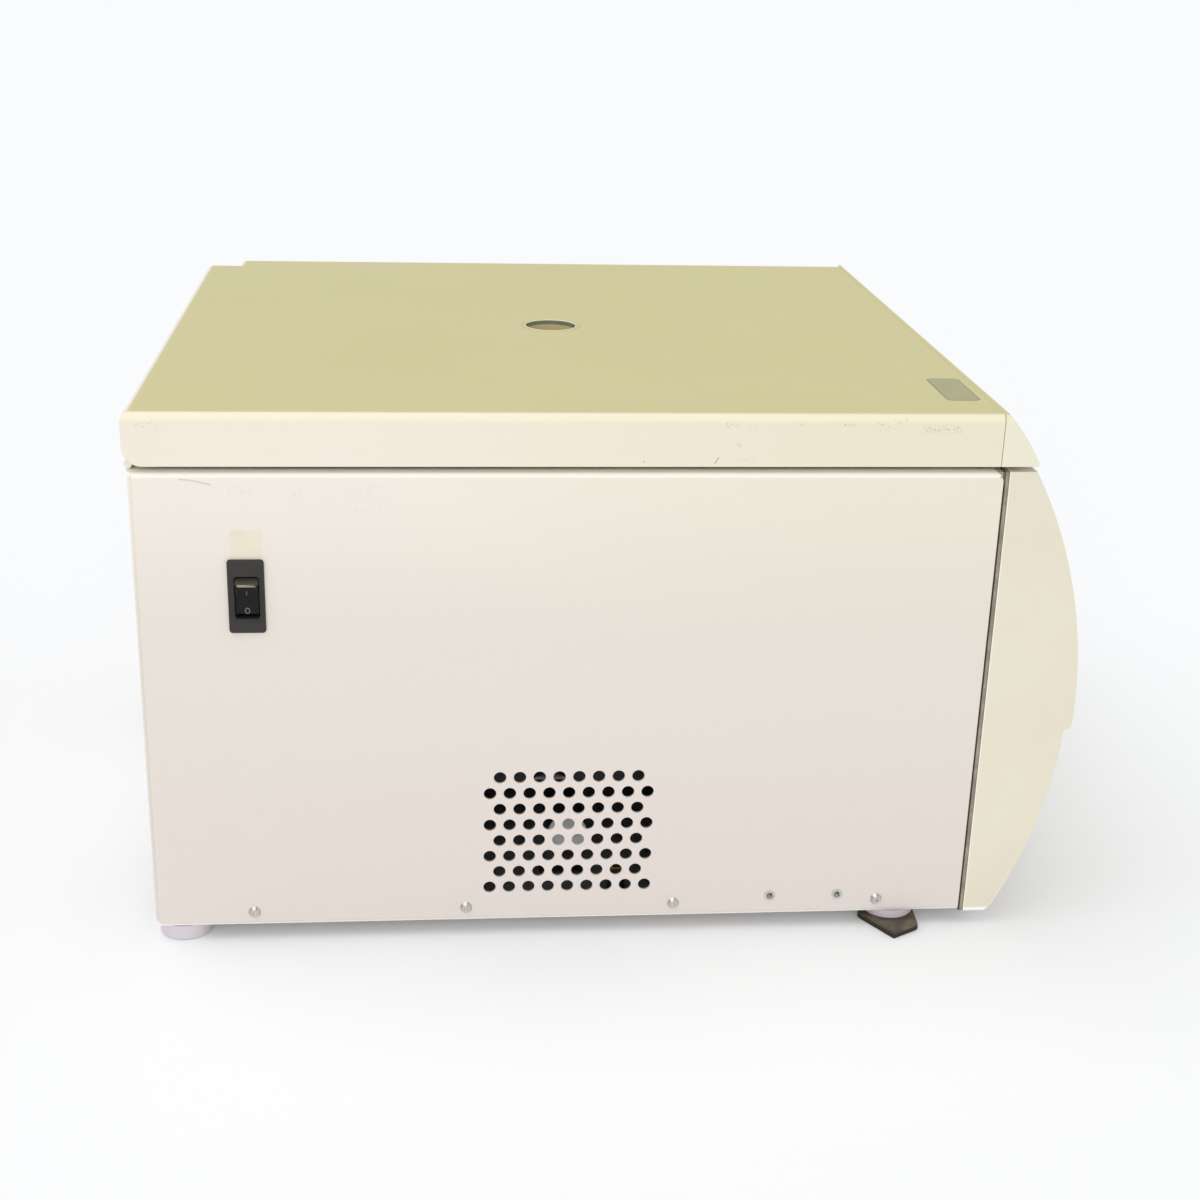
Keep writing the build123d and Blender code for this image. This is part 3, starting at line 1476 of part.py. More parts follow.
def make_key(x):
    """Push key with a stem that reaches to its switch on the board."""
    stem_end = board_depth - key_switch_gap - key_travel - moving_gap
    with BuildPart() as key:
        with BuildSketch(face_plane(key_angle, -key_rise, x)):
            RectangleRounded(key_width, key_height, 3)
        extrude(amount=-key_rise - panel_thickness)
        fillet(key.faces().sort_by(Axis.Y)[0].edges(), 0.8)
        with BuildSketch(face_plane(key_angle, panel_thickness + cover_wall + 1, x)):
            RectangleRounded(key_width + 4, key_height + 4, 3)
        extrude(amount=-1.5)
        with BuildSketch(face_plane(key_angle, panel_thickness - 1, x)):
            Circle(3)
        extrude(amount=-(stem_end - panel_thickness + 1))
    return key


for name, x in zip(key_names, key_xs):
    finish(make_key(x), name)


def make_knob(x):
    """Round knob with finger grooves, a pointer line and a shaft into its encoder."""
    seat = face_plane(board_angle, -knob_seat, x)
    with BuildPart() as knob:
        with BuildSketch(seat):
            Circle(knob_radius)
        extrude(amount=knob_height, taper=knob_taper)
        fillet(knob.faces().sort_by(Axis.Y)[0].edges(), knob_round)
        with BuildSketch(seat.offset(knob_height)):
            with Locations((0, knob_radius * 0.55)):
                Rectangle(1.4, knob_radius * 0.6)
        extrude(amount=-0.8, mode=Mode.SUBTRACT)
        with BuildSketch(seat.offset(3)):
            with PolarLocations(knob_radius + 1.2, 12):
                Circle(2.4)
        extrude(amount=knob_height, mode=Mode.SUBTRACT)
        with BuildSketch(seat):
            Circle(knob_shaft_radius)
        extrude(amount=-(board_depth + knob_seat - 1))
    return knob


for name, x in zip(("speed_knob", "time_knob"), knob_xs):
    finish(make_knob(x), name)

# Fan and inlet
fan_plane = Plane(origin=(fan_x, rear_y, fan_z), x_dir=(-1, 0, 0), z_dir=(0, 1, 0))
with BuildPart() as fan_frame:
    with BuildSketch(fan_plane):
        RectangleRounded(fan_width, fan_width, 5)
        Circle(fan_bore_radius, mode=Mode.SUBTRACT)
        with GridLocations(fan_screw_pitch, fan_screw_pitch, 2, 2):
            Circle(fan_screw_radius, mode=Mode.SUBTRACT)
    extrude(amount=-fan_depth)
    with BuildSketch(fan_plane):
        Circle(fan_hub_radius)
        with PolarLocations((fan_hub_radius + fan_bore_radius) / 2, 4, start_angle=45):
            Rectangle(fan_bore_radius - fan_hub_radius + 4, fan_arm_thickness)
    extrude(amount=-fan_arm_thickness)
    with BuildSketch(fan_plane.offset(-fan_arm_thickness)):
        Circle(fan_pin_radius)
    extrude(amount=-fan_hub_height + 3)
finish(fan_frame, "fan_frame")

blade_root = fan_hub_radius - blade_root_lap
blade_tip = fan_bore_radius - blade_tip_gap
impeller_top = -fan_arm_thickness - 1
with BuildPart() as fan_impeller:
    with BuildSketch(fan_plane.offset(impeller_top)):
        Circle(fan_hub_radius)
    extrude(amount=-fan_hub_height)
    with BuildSketch(fan_plane.offset(impeller_top)):
        Circle(fan_hub_radius - fan_hub_wall)
        Circle(fan_core_radius, mode=Mode.SUBTRACT)
    extrude(amount=-fan_hub_height + 2 * fan_hub_wall, mode=Mode.SUBTRACT)
    with BuildSketch(fan_plane.offset(-fan_arm_thickness)):
        Circle(fan_pin_radius + bearing_gap)
    extrude(amount=-fan_hub_height + 2, mode=Mode.SUBTRACT)
    for i in range(fan_blades):
        turn = radians(i * 360 / fan_blades)
        out = Vector(cos(turn), 0, sin(turn))
        centre = Vector(fan_x, rear_y + impeller_top - fan_hub_height / 2, fan_z)
        for radius, pitch in ((blade_root, blade_root_pitch), (blade_tip, blade_tip_pitch)):
            across = Vector(-sin(turn), 0, cos(turn))
            along = Vector(0, cos(radians(pitch)), 0) + across * sin(radians(pitch))
            with BuildSketch(Plane(origin=centre + out * radius, x_dir=along, z_dir=out)):
                Rectangle(blade_chord, blade_thickness)
        loft(ruled=True)
finish(fan_impeller, "fan_impeller")

with BuildPart() as fan_guard:
    with BuildSketch(fan_plane.offset(sheet)):
        for radius in (12, 20, 28, 36, fan_bore_radius + 2):
            Circle(radius + guard_wire / 2)
            Circle(radius - guard_wire / 2, mode=Mode.SUBTRACT)
            with PolarLocations((12 + fan_bore_radius) / 2, 4, start_angle=45):
                Rectangle(fan_bore_radius - 8, guard_wire)
        with GridLocations(fan_screw_pitch, fan_screw_pitch, 2, 2):
            Circle(4)
        with PolarLocations(fan_bore_radius + 8, 4, start_angle=45):
            Rectangle(16, 3)
    extrude(amount=guard_thickness)
finish(fan_guard, "fan_guard")

inlet_plane = Plane(origin=(inlet_x, rear_y + sheet, inlet_z), x_dir=(-1, 0, 0), z_dir=(0, 1, 0))
with BuildPart() as mains_inlet:
    with BuildSketch(inlet_plane):
        RectangleRounded(inlet_width + 8, inlet_height + 6, 3)
    extrude(amount=guard_thickness)
    with BuildSketch(inlet_plane):
        Rectangle(inlet_width - 2 * edge_gap, inlet_height - 2 * edge_gap)
    extrude(amount=-inlet_depth)
    with BuildSketch(inlet_plane.offset(guard_thickness)):
        with Locations((socket_x, 0)):
            RectangleRounded(socket_width, socket_height, 2.5)
        with Locations((fuse_x, 0)):
            Rectangle(fuse_width, fuse_height)
            Rectangle(fuse_width - 2 * fuse_groove, fuse_height - 2 * fuse_groove, mode=Mode.SUBTRACT)
    extrude(amount=-1, mode=Mode.SUBTRACT)
    with BuildSketch(inlet_plane.offset(guard_thickness)):
        with Locations((socket_x, 0)):
            RectangleRounded(socket_width, socket_height, 2.5)
    extrude(amount=-socket_depth, mode=Mode.SUBTRACT)
    with BuildSketch(inlet_plane.offset(guard_thickness - socket_depth)):
        with Locations((socket_x - 7, -2), (socket_x, 3), (socket_x + 7, -2)):
            Rectangle(2, 4)
    extrude(amount=socket_depth - 6)
finish(mains_inlet, "mains_inlet")

# Electronics
with BuildPart() as power_unit:
    with BuildSketch(Plane.XY.offset(tray_top_z)):
        with Locations((unit_x, chamber_y)):
            Rectangle(unit_width, unit_length)
    extrude(amount=unit_height)
    with BuildSketch(Plane.XY.offset(tray_top_z + unit_height)):
        with Locations((unit_x, chamber_y)):
            with GridLocations(fin_pitch, 1, fin_count, 1):
                Rectangle(fin_thickness, unit_length)
    extrude(amount=fin_height)
finish(power_unit, "power_unit")

board_z = base_z + board_rise
component_plane = Plane.XZ.offset(-bulkhead_y - control_board_standoff - board_thickness)
with BuildPart() as control_board:
    with BuildSketch(Plane.XZ.offset(-bulkhead_y - control_board_standoff)):
        with Locations((board_x, board_z)):
            Rectangle(control_board_width, control_board_height)
    extrude(amount=-board_thickness)
    with BuildSketch(Plane.XZ.offset(-bulkhead_y)):
        with Locations((board_x, board_z)):
            with GridLocations(
                control_board_width - 2 * standoff_inset, control_board_height - 2 * standoff_inset, 2, 2
            ):
                Circle(standoff_radius)
    extrude(amount=-control_board_standoff)
    low_row_z = board_z - control_board_height / 4
    high_row_z = board_z + control_board_height / 5
    with BuildSketch(component_plane):
        with Locations((board_x - control_board_width / 2 + transformer_width / 2 + 12, low_row_z)):
            Rectangle(transformer_width, transformer_height)
    extrude(amount=-transformer_depth)
    with BuildSketch(component_plane):
        with Locations((board_x + can_pitch / 2 + 5, low_row_z)):
            with GridLocations(can_pitch, 1, 2, 1):
                Circle(can_radius)
    extrude(amount=-can_length)
    with BuildSketch(component_plane):
        with Locations((board_x - 8, high_row_z)):
            with GridLocations(chip_pitch, 1, 2, 1):
                Rectangle(chip_width, chip_width)
        with Locations((board_x + control_board_width / 2 - header_width / 2 - 11, board_z)):
            Rectangle(header_width, header_length)
    extrude(amount=-chip_thickness)
finish(control_board, "control_board")
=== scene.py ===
import json
import math

import bmesh
import bpy
from mathutils import Matrix, Vector
from mathutils.bvhtree import BVHTree


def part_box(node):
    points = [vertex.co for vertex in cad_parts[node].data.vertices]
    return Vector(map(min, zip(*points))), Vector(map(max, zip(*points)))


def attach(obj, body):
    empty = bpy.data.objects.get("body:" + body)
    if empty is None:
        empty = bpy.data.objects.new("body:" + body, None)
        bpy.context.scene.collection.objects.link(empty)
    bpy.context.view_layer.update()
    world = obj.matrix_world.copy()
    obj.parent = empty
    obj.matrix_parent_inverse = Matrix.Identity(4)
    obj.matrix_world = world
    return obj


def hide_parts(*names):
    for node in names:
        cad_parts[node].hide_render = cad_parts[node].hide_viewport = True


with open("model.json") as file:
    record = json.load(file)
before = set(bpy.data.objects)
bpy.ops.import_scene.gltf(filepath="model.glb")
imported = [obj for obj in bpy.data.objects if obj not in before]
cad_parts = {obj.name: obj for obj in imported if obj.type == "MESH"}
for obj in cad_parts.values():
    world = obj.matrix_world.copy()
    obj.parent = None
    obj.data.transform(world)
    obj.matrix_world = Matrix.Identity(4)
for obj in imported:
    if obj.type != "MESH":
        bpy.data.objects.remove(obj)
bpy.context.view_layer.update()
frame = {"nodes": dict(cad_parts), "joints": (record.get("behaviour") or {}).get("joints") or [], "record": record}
nodes = frame["nodes"]
print("frame loaded:", len(nodes), "nodes")

housing, lid = "housing", "lid"


# camera: behind and to the left of the instrument, looking at its switch side
cameraSettings = {
    "place": (-1.24921, 0.1168, 0.60896),
    "tilt": (69.3746, -1.5072, -95.0309),
    "lens": 55.2,
    "sensor": 36.0,
    "farthest": 60.0,
}


def addObject(name, data):
    made = bpy.data.objects.new(name, data)
    bpy.context.scene.collection.objects.link(made)
    return made


def placeCamera(settings):
    data = bpy.data.cameras.new("studioCamera")
    data.sensor_width = settings["sensor"]
    data.lens = settings["lens"]
    data.clip_end = settings["farthest"]
    camera = addObject("studioCamera", data)
    camera.location = settings["place"]
    camera.rotation_euler = [math.radians(angle) for angle in settings["tilt"]]
    bpy.context.scene.camera = camera


placeCamera(cameraSettings)
bpy.context.scene.view_settings.view_transform = "Standard"
print("camera placed")


# node helpers for all the materials
def addNode(material, kind, inputs=None, **settings):
    node = material.node_tree.nodes.new(kind)
    for name, value in settings.items():
        setattr(node, name, value)
    for name, value in (inputs or {}).items():
        node.inputs[name].default_value = value
    return node


def plug(material, value, socket):
    if isinstance(value, bpy.types.NodeSocket):
        material.node_tree.links.new(value, socket)
    else:
        socket.default_value = value


def startMaterial(name, colour, roughness, metallic=0.0):
    material = bpy.data.materials.new(name)
    material.use_nodes = True
    shader = material.node_tree.nodes["Principled BSDF"]
    shader.inputs["Base Color"].default_value = (*colour, 1.0)
    shader.inputs["Roughness"].default_value = roughness
    shader.inputs["Metallic"].default_value = metallic
    return material, shader


def localPlace(material):
    return addNode(material, "ShaderNodeTexCoord").outputs["Object"]


def startFinish(name, colour, roughness, metallic=0.0):
    material, shader = startMaterial(name, colour, roughness, metallic)
    return material, shader, localPlace(material)


def stretch(material, place, scale):
    node = addNode(material, "ShaderNodeMapping", {"Scale": scale})
    plug(material, place, node.inputs["Vector"])
    return node.outputs["Vector"]


def noiseField(material, place, scale, detail=2.0, roughness=0.5):
    node = addNode(material, "ShaderNodeTexNoise", {"Scale": scale, "Detail": detail, "Roughness": roughness})
    plug(material, place, node.inputs["Vector"])
    return node.outputs["Fac"]


def cellField(material, place, scale, feature="F1"):
    node = addNode(material, "ShaderNodeTexVoronoi", {"Scale": scale}, feature=feature)
    plug(material, place, node.inputs["Vector"])
    return node.outputs["Distance"]


def spread(material, value, low, high, start=0.0, end=1.0):
    ends = {"From Min": low, "From Max": high, "To Min": start, "To Max": end}
    node = addNode(material, "ShaderNodeMapRange", ends, interpolation_type="SMOOTHSTEP")
    plug(material, value, node.inputs["Value"])
    return node.outputs["Result"]


def calculate(material, kind, first, second=0.0):
    node = addNode(material, "ShaderNodeMath", operation=kind)
    plug(material, first, node.inputs[0])
    plug(material, second, node.inputs[1])
    return node.outputs["Value"]


def times(material, *values):
    result = values[0]
    for value in values[1:]:
        result = calculate(material, "MULTIPLY", result, value)
    return result


def splitAxes(material, place):
    node = addNode(material, "ShaderNodeSeparateXYZ")
    plug(material, place, node.inputs["Vector"])
    return node.outputs["X"], node.outputs["Y"], node.outputs["Z"]


def facingUp(material, low, high):
    normal = addNode(material, "ShaderNodeTexCoord").outputs["Normal"]
    return spread(material, splitAxes(material, normal)[2], low, high)


def within(material, value, low, high, fade):
    # two factors whose product is 1 between low and high, each fading over fade
    rise = spread(material, value, low - fade, low + fade)
    return rise, spread(material, value, high - fade, high + fade, 1.0, 0.0)


def axisDistance(material, x, y, centre):
    # how far a point is from the chamber's upright axis
    away = calculate(material, "SUBTRACT", y, centre)
    squares = calculate(material, "ADD", times(material, x, x), times(material, away, away))
    return calculate(material, "SQRT", squares)


def feedGloss(material, shader, place, scale, low, high):
    gloss = spread(material, noiseField(material, place, scale, 3.0), 0.3, 0.7, low, high)
    feed(material, shader, gloss, "Roughness")


def dimmed(colour, share, lift=0.0):
    return tuple(c * share + lift for c in colour)


def brickField(material, place, scale, mortar, colours, squash):
    node = addNode(material, "ShaderNodeTexBrick", {"Scale": scale, "Mortar Size": mortar})
    for name, colour in zip(("Color1", "Color2", "Mortar"), colours):
        node.inputs[name].default_value = (*colour, 1.0)
    plug(material, stretch(material, place, (1.0, 1.0, squash)), node.inputs["Vector"])
    return node.outputs


def mixColours(material, factor, first, second):
    node = addNode(material, "ShaderNodeMix", data_type="RGBA", blend_type="MIX")
    sockets = [s for s in node.inputs if s.enabled]
    plug(material, factor, sockets[0])
    for socket, colour in zip(sockets[1:], (first, second)):
        plug(material, colour if isinstance(colour, bpy.types.NodeSocket) else (*colour, 1.0), socket)
    return [s for s in node.outputs if s.enabled][0]


def feed(material, shader, value, name="Base Color"):
    plug(material, value, shader.inputs[name])


def addBump(material, shader, height, distance):
    bump = addNode(material, "ShaderNodeBump", {"Distance": distance, "Strength": 1.0})
    plug(material, height, bump.inputs["Height"])
    old = shader.inputs["Normal"].links
    if old:
        plug(material, old[0].from_socket, bump.inputs["Normal"])
    plug(material, bump.outputs["Normal"], shader.inputs["Normal"])


# cream powder coat of the sheet-metal pieces, darker and yellower where it faces up
housingPaint = {
    "clean": (0.89, 0.825, 0.74),
    "warm": (0.872, 0.822, 0.708),
    "rosy": (0.872, 0.795, 0.735),
    "front": (0.83, 0.79, 0.66),
    # painted shade: the sides darker and rosier towards the bottom
    "lower": (0.765, 0.715, 0.645),
    "lowest": (0.76, 0.69, 0.64),
    "lowerSpan": (0.315, 0.19),
    "lowestSpan": (0.19, 0.04),
    "yellowed": (0.72, 0.672, 0.48),
    "upward": (0.93, 0.995),
    "specular": 0.5,
    "dirt": (0.3, 0.26, 0.21),
    "stain": (0.7, 0.62, 0.38),
    "rust": (0.46, 0.38, 0.22),
    "gloss": (0.32, 0.42),
    "peelScale": 620.0,
    "peelHeight": 0.00005,
    # painted shade in the top fold under the lid, a painted highlight just below it and a painted highlight along
    # the bottom edge of the sides: axis, from, to, fade, colour, how much
    "bands": [
        (2, 0.3038, 0.306, 0.0004, (0.64, 0.65, 0.5), 0.75),
        (2, 0.3008, 0.3032, 0.0006, (1.0, 0.97, 0.87), 0.7),
        (2, 0.009, 0.0124, 0.0003, (1.0, 0.985, 0.95), 0.95),
    ],
}
lidPaint = dict(
    housingPaint,
    clean=(0.88, 0.815, 0.705),
    warm=(0.862, 0.808, 0.672),
    front=(0.83, 0.775, 0.61),
    lowerSpan=(0.002, 0.001),
    lowestSpan=(0.002, 0.001),
    yellowed=(0.65, 0.598, 0.29),
    specular=0.36,
    # painted highlight along the lid's top fold, which the trim takes too
    bands=[(2, 0.3345, 0.3385, 0.0018, (0.89, 0.815, 0.59), 0.65)],
)
trimPaint = dict(
    lidPaint,
    clean=(0.836, 0.805, 0.655),
    warm=(0.82, 0.792, 0.628),
    front=(0.83, 0.8, 0.645),
    upward=(0.7, 0.86),
    gloss=(0.4, 0.5),
    peelScale=900.0,
)
sideSpan = (0.23, 0.2312)  # how far out the folded sides begin
leftSpan = (-0.231, -0.2335)
rubSoftness = 0.0016
# rubbed places on the left side: y from, y to, z from, z to, grain, how much, which colour
lidRubs = [
    (-0.191, -0.168, 0.3286, 0.3328, 900.0, 0.85, "dirt"),
    (-0.167, -0.15, 0.3334, 0.3364, 420.0, 0.95, "stain"),
    (-0.15, -0.141, 0.33, 0.333, 620.0, 0.55, "dirt"),
    (-0.147, -0.139, 0.3312, 0.3342, 620.0, 0.8, "rust"),
    (-0.129, -0.121, 0.3322, 0.3345, 620.0, 0.7, "rust"),
    (-0.099, -0.093, 0.3322, 0.3345, 620.0, 0.6, "rust"),
    (-0.061, -0.052, 0.3315, 0.3345, 620.0, 0.75, "rust"),
    (-0.072, -0.066, 0.33, 0.3335, 520.0, 0.2, "dirt"),
    (-0.07, -0.06, 0.3105, 0.3145, 420.0, 0.18, "dirt"),
    (-0.063, -0.056, 0.3185, 0.3225, 420.0, 0.22, "dirt"),
    (-0.138, -0.129, 0.319, 0.3235, 420.0, 0.16, "stain"),
    (0.268, 0.281, 0.33, 0.3345, 700.0, 0.35, "dirt"),
]
panelRubs = [
    (0.2155, 0.2425, 0.2905, 0.2975, 300.0, 0.12, "dirt"),
    (0.19, 0.198, 0.286, 0.294, 300.0, 0.14, "dirt"),
    (0.142, 0.164, 0.28, 0.296, 300.0, 0.08, "dirt"),
]
# scratches on the left side: from (y, z) to (y, z), half width, how much
lidScratches = [
    ((-0.0468, 0.3098), (-0.049, 0.3138), 0.00026, 0.5),
    ((-0.005, 0.3102), (-0.0062, 0.3118), 0.00022, 0.45),
]
panelScratches = [
    ((0.259, 0.3002), (0.2515, 0.2994), 0.0003, 0.3),
    ((0.2515, 0.2994), (0.241, 0.2969), 0.00034, 0.3),
    ((-0.2182, 0.3006), (-0.2178, 0.3017), 0.0004, 0.75),
]


def patchMask(material, axes, patch, soft):
    # 1 inside a rectangle on the side, fading over soft
    mask = 1.0
    for axis, low, high in ((axes[1], *patch[:2]), (axes[2], *patch[2:])):
        mask = times(material, mask, *within(material, axis, low, high, soft))
    return mask


def scratchMask(material, axes, start, end, halfWidth):
    # 1 along a line on the side, fading at its edges and ends
    along = Vector((end[0] - start[0], end[1] - start[1]))
    length = along.length
    along.normalize()
    y = calculate(material, "SUBTRACT", axes[1], start[0])
    z = calculate(material, "SUBTRACT", axes[2], start[1])
    run = calculate(material, "ADD", times(material, y, along.x), times(material, z, along.y))
    off = calculate(material, "SUBTRACT", times(material, z, along.x), times(material, y, along.y))
    off = calculate(material, "ABSOLUTE", off)
    edge = spread(material, off, halfWidth, halfWidth * 2.2, 1.0, 0.0)
    return times(material, edge, *within(material, run, 0.0, length, halfWidth))


def paintLightBands(material, axes, colour, bands, where=1.0):
    # bands of painted highlight and painted shade, each along one axis
    for axis, low, high, fade, tint, amount in bands:
        inside = within(material, axes[axis], low, high, fade)
        colour = mixColours(material, times(material, *inside, where, amount), colour, tint)
    return colour


def coatedSheet(name, paint, rubs=(), scratches=()):
    material, shader, place = startFinish(name, paint["clean"], 0.4)
    shader.inputs["Specular IOR Level"].default_value = paint["specular"]
    axes = splitAxes(material, place)
    warmth = spread(material, noiseField(material, place, 3.0), 0.3, 0.7)
    blush = spread(material, noiseField(material, stretch(material, place, (1, 2, 1)), 4.0), 0.4, 0.8)
    colour = mixColours(material, warmth, paint["clean"], paint["warm"])
    colour = mixColours(material, times(material, blush, 0.35), colour, paint["rosy"])
    colour = mixColours(material, spread(material, axes[1], 0.2, -0.2), colour, paint["front"])
    # painted shade, darker and rosier towards the bottom
    for level in ("lower", "lowest"):
        lowerShade = spread(material, axes[2], *paint[level + "Span"])
        colour = mixColours(material, times(material, lowerShade, 0.85), colour, paint[level])
    # darker, yellower tone on the faces that point up
    upward = facingUp(material, *paint["upward"])
    cloud = spread(material, noiseField(material, place, 7.0, 2.0), 0.25, 0.75, 0.92, 1.0)
    colour = mixColours(material, times(material, upward, cloud), colour, paint["yellowed"])
    speck = spread(material, cellField(material, place, 420.0), 0.05, 0.12, 0.08, 0.0)
    colour = mixColours(material, speck, colour, paint["dirt"])
    # the bands: painted shade and painted highlights along the folds and edges, on the sides only
    sides = spread(material, calculate(material, "ABSOLUTE", axes[0]), *sideSpan)
    colour = paintLightBands(material, axes, colour, paint["bands"], sides)
    leftSide = spread(material, axes[0], *leftSpan)
    grains = {}
    for *patch, grain, depth, tone in rubs:
        if grain not in grains:
            field = noiseField(material, place, grain, 4.0, 0.72)
            grains[grain] = times(material, spread(material, field, 0.53, 0.64), leftSide)
        mask = times(material, patchMask(material, axes, patch, rubSoftness), grains[grain], depth)
        colour = mixColours(material, mask, colour, paint[tone])
    for start, end, halfWidth, depth in scratches:
        mask = times(material, scratchMask(material, axes, start, end, halfWidth), leftSide, depth)
        colour = mixColours(material, mask, colour, paint["dirt"])
    feed(material, shader, colour)
    feedGloss(material, shader, place, 60.0, *paint["gloss"])
    addBump(material, shader, noiseField(material, place, paint["peelScale"], 2.0), paint["peelHeight"])
    addBump(material, shader, noiseField(material, place, 2600.0, 1.0), paint["peelHeight"] / 4)
    return material


# moulded plastics: base colour, a second tone, roughness, grain size and depth, specular
plasticFinishes = {
    "coverMoulding": ((0.8, 0.755, 0.615), (0.78, 0.725, 0.58), (0.4, 0.52), 900.0, 0.00005),
    "rockerMoulding": ((0.0075, 0.0075, 0.0075), (0.011, 0.01, 0.01), (0.4, 0.52), 1400.0, 0.00003, 0.16),
    "linerMoulding": ((0.64, 0.64, 0.6), (0.59, 0.59, 0.55), (0.42, 0.55), 700.0, 0.00006),
    "blackMoulding": ((0.022, 0.022, 0.024), (0.034, 0.033, 0.032), (0.42, 0.58), 1100.0, 0.00004),
    "bezelMoulding": ((0.036, 0.033, 0.031), (0.046, 0.042, 0.039), (0.5, 0.64), 1400.0, 0.00004, 0.25),
    "panelMoulding": ((0.3, 0.335, 0.37), (0.275, 0.31, 0.345), (0.42, 0.52), 1300.0, 0.00004),
    "keyMoulding": ((0.62, 0.63, 0.63), (0.57, 0.58, 0.58), (0.4, 0.5), 1300.0, 0.00004),
    "blueMoulding": ((0.085, 0.2, 0.4), (0.07, 0.17, 0.35), (0.38, 0.48), 1300.0, 0.00004),
    "knobMoulding": ((0.07, 0.076, 0.084), (0.09, 0.095, 0.102), (0.42, 0.55), 1300.0, 0.00005),
    "footMoulding": ((0.7, 0.65, 0.68), (0.64, 0.58, 0.62), (0.38, 0.5), 500.0, 0.00004),
}
# painted highlights on the front cover: along its bottom edge and along its edge beside the seal strip
coverHighlightBands = [
    (2, 0.009, 0.0124, 0.0003, (1.0, 0.985, 0.95), 0.9),
    (1, -0.2238, -0.2226, 0.0003, (0.98, 0.95, 0.86), 0.75),
]


def mouldedPlastic(name, finish, bands=()):
    base, second, gloss, grain, depth, specular = (*finish, 0.5)[:6]
    material, shader, place = startFinish(name, base, gloss[0])
    shader.inputs["Specular IOR Level"].default_value = specular
    tone = spread(material, noiseField(material, place, 11.0, 3.0), 0.35, 0.68)
    colour = mixColours(material, tone, base, second)
    dustAmount = 0.1 if specular == 0.5 else 0.02
    dust = spread(material, noiseField(material, place, 190.0, 5.0, 0.7), 0.62, 0.8, 0.0, dustAmount)
    colour = mixColours(material, dust, colour, dimmed(base, 0.6, 0.1))
    colour = paintLightBands(material, splitAxes(material, place), colour, bands)
    feed(material, shader, colour)
    feedGloss(material, shader, place, 45.0, *gloss)
    addBump(material, shader, cellField(material, place, grain, "SMOOTH_F1"), depth)
    addBump(material, shader, noiseField(material, place, grain * 2.3, 2.0), depth / 2)
    return material


# bare metals: colour, roughness range, grain stretch along x, y, z, its depth and how metallic
metalFinishes = {
    "zincSheet": ((0.47, 0.465, 0.455), (0.34, 0.52), (260.0, 260.0, 260.0), 0.00003, 0.45),
    "brightSteel": ((0.6, 0.59, 0.56), (0.2, 0.34), (900.0, 900.0, 900.0), 0.00002),
    "castAluminium": ((0.36, 0.365, 0.37), (0.55, 0.72), (500.0, 500.0, 500.0), 0.00006),
    "rotorAnodised": ((0.42, 0.44, 0.47), (0.32, 0.42), (1500.0, 1500.0, 1500.0), 0.00002),
    "carrierAnodised": ((0.66, 0.66, 0.67), (0.34, 0.45), (1500.0, 1500.0, 1500.0), 0.00002),
    "brassBar": ((0.62, 0.44, 0.16), (0.3, 0.42), (60.0, 900.0, 900.0), 0.00002),
}


def bareMetal(name, finish):
    base, gloss, grain, depth, metallic = (*finish, 1.0)[:5]
    material, shader, place = startFinish(name, base, gloss[0], metallic)
    lines = noiseField(material, stretch(material, place, grain), 1.0, 3.0)
    tarnish = spread(material, noiseField(material, place, 34.0, 4.0), 0.45, 0.75, 0.0, 0.5)
    colour = mixColours(material, tarnish, base, dimmed(base, 0.78))
    feed(material, shader, colour)
    feed(material, shader, spread(material, lines, 0.3, 0.7, *gloss), "Roughness")
    addBump(material, shader, lines, depth)
    return material


def turnedSteel(name, centre, base=(0.6, 0.6, 0.58)):
    # brushed in rings round the spin axis
    material, shader, place = startFinish(name, base, 0.3, 1.0)
    x, y, z = splitAxes(material, place)
    across = calculate(material, "ADD", axisDistance(material, x, y, centre), z)
    joined = addNode(material, "ShaderNodeCombineXYZ")
    plug(material, times(material, across, 1600.0), joined.inputs["X"])
    lines = noiseField(material, joined.outputs["Vector"], 1.0, 2.0)
    stain = spread(material, noiseField(material, place, 18.0, 4.0), 0.5, 0.75, 0.0, 0.35)
    feed(material, shader, mixColours(material, stain, base, (0.42, 0.41, 0.38)))
    feed(material, shader, spread(material, lines, 0.3, 0.7, 0.22, 0.4), "Roughness")
    addBump(material, shader, lines, 0.00003)
    return material


# rubbers and foam: colour, worn colour, roughness, pore size and depth
rubberFinishes = {
    "blackRubber": ((0.02, 0.02, 0.02), (0.06, 0.057, 0.052), 0.68, 700.0, 0.00006),
    "foamStrip": ((0.26, 0.215, 0.165), (0.39, 0.335, 0.265), 0.88, 950.0, 0.00025),
    "brownPad": ((0.085, 0.068, 0.046), (0.16, 0.134, 0.096), 0.85, 380.0, 0.0002),
}


# painted highlight: the rocker's upper end lighter, where its top face catches the light
rockerHighlightBands = [(2, 0.2376, 0.242, 0.0003, (0.078, 0.074, 0.05), 0.9)]
# painted shade along both edges of the seal strip, in the gaps beside it
sealShadeBands = [
    (1, -0.2208, -0.219, 0.0003, (0.05, 0.038, 0.034), 0.8),
    (1, -0.2236, -0.2226, 0.0002, (0.17, 0.15, 0.11), 0.75),
]


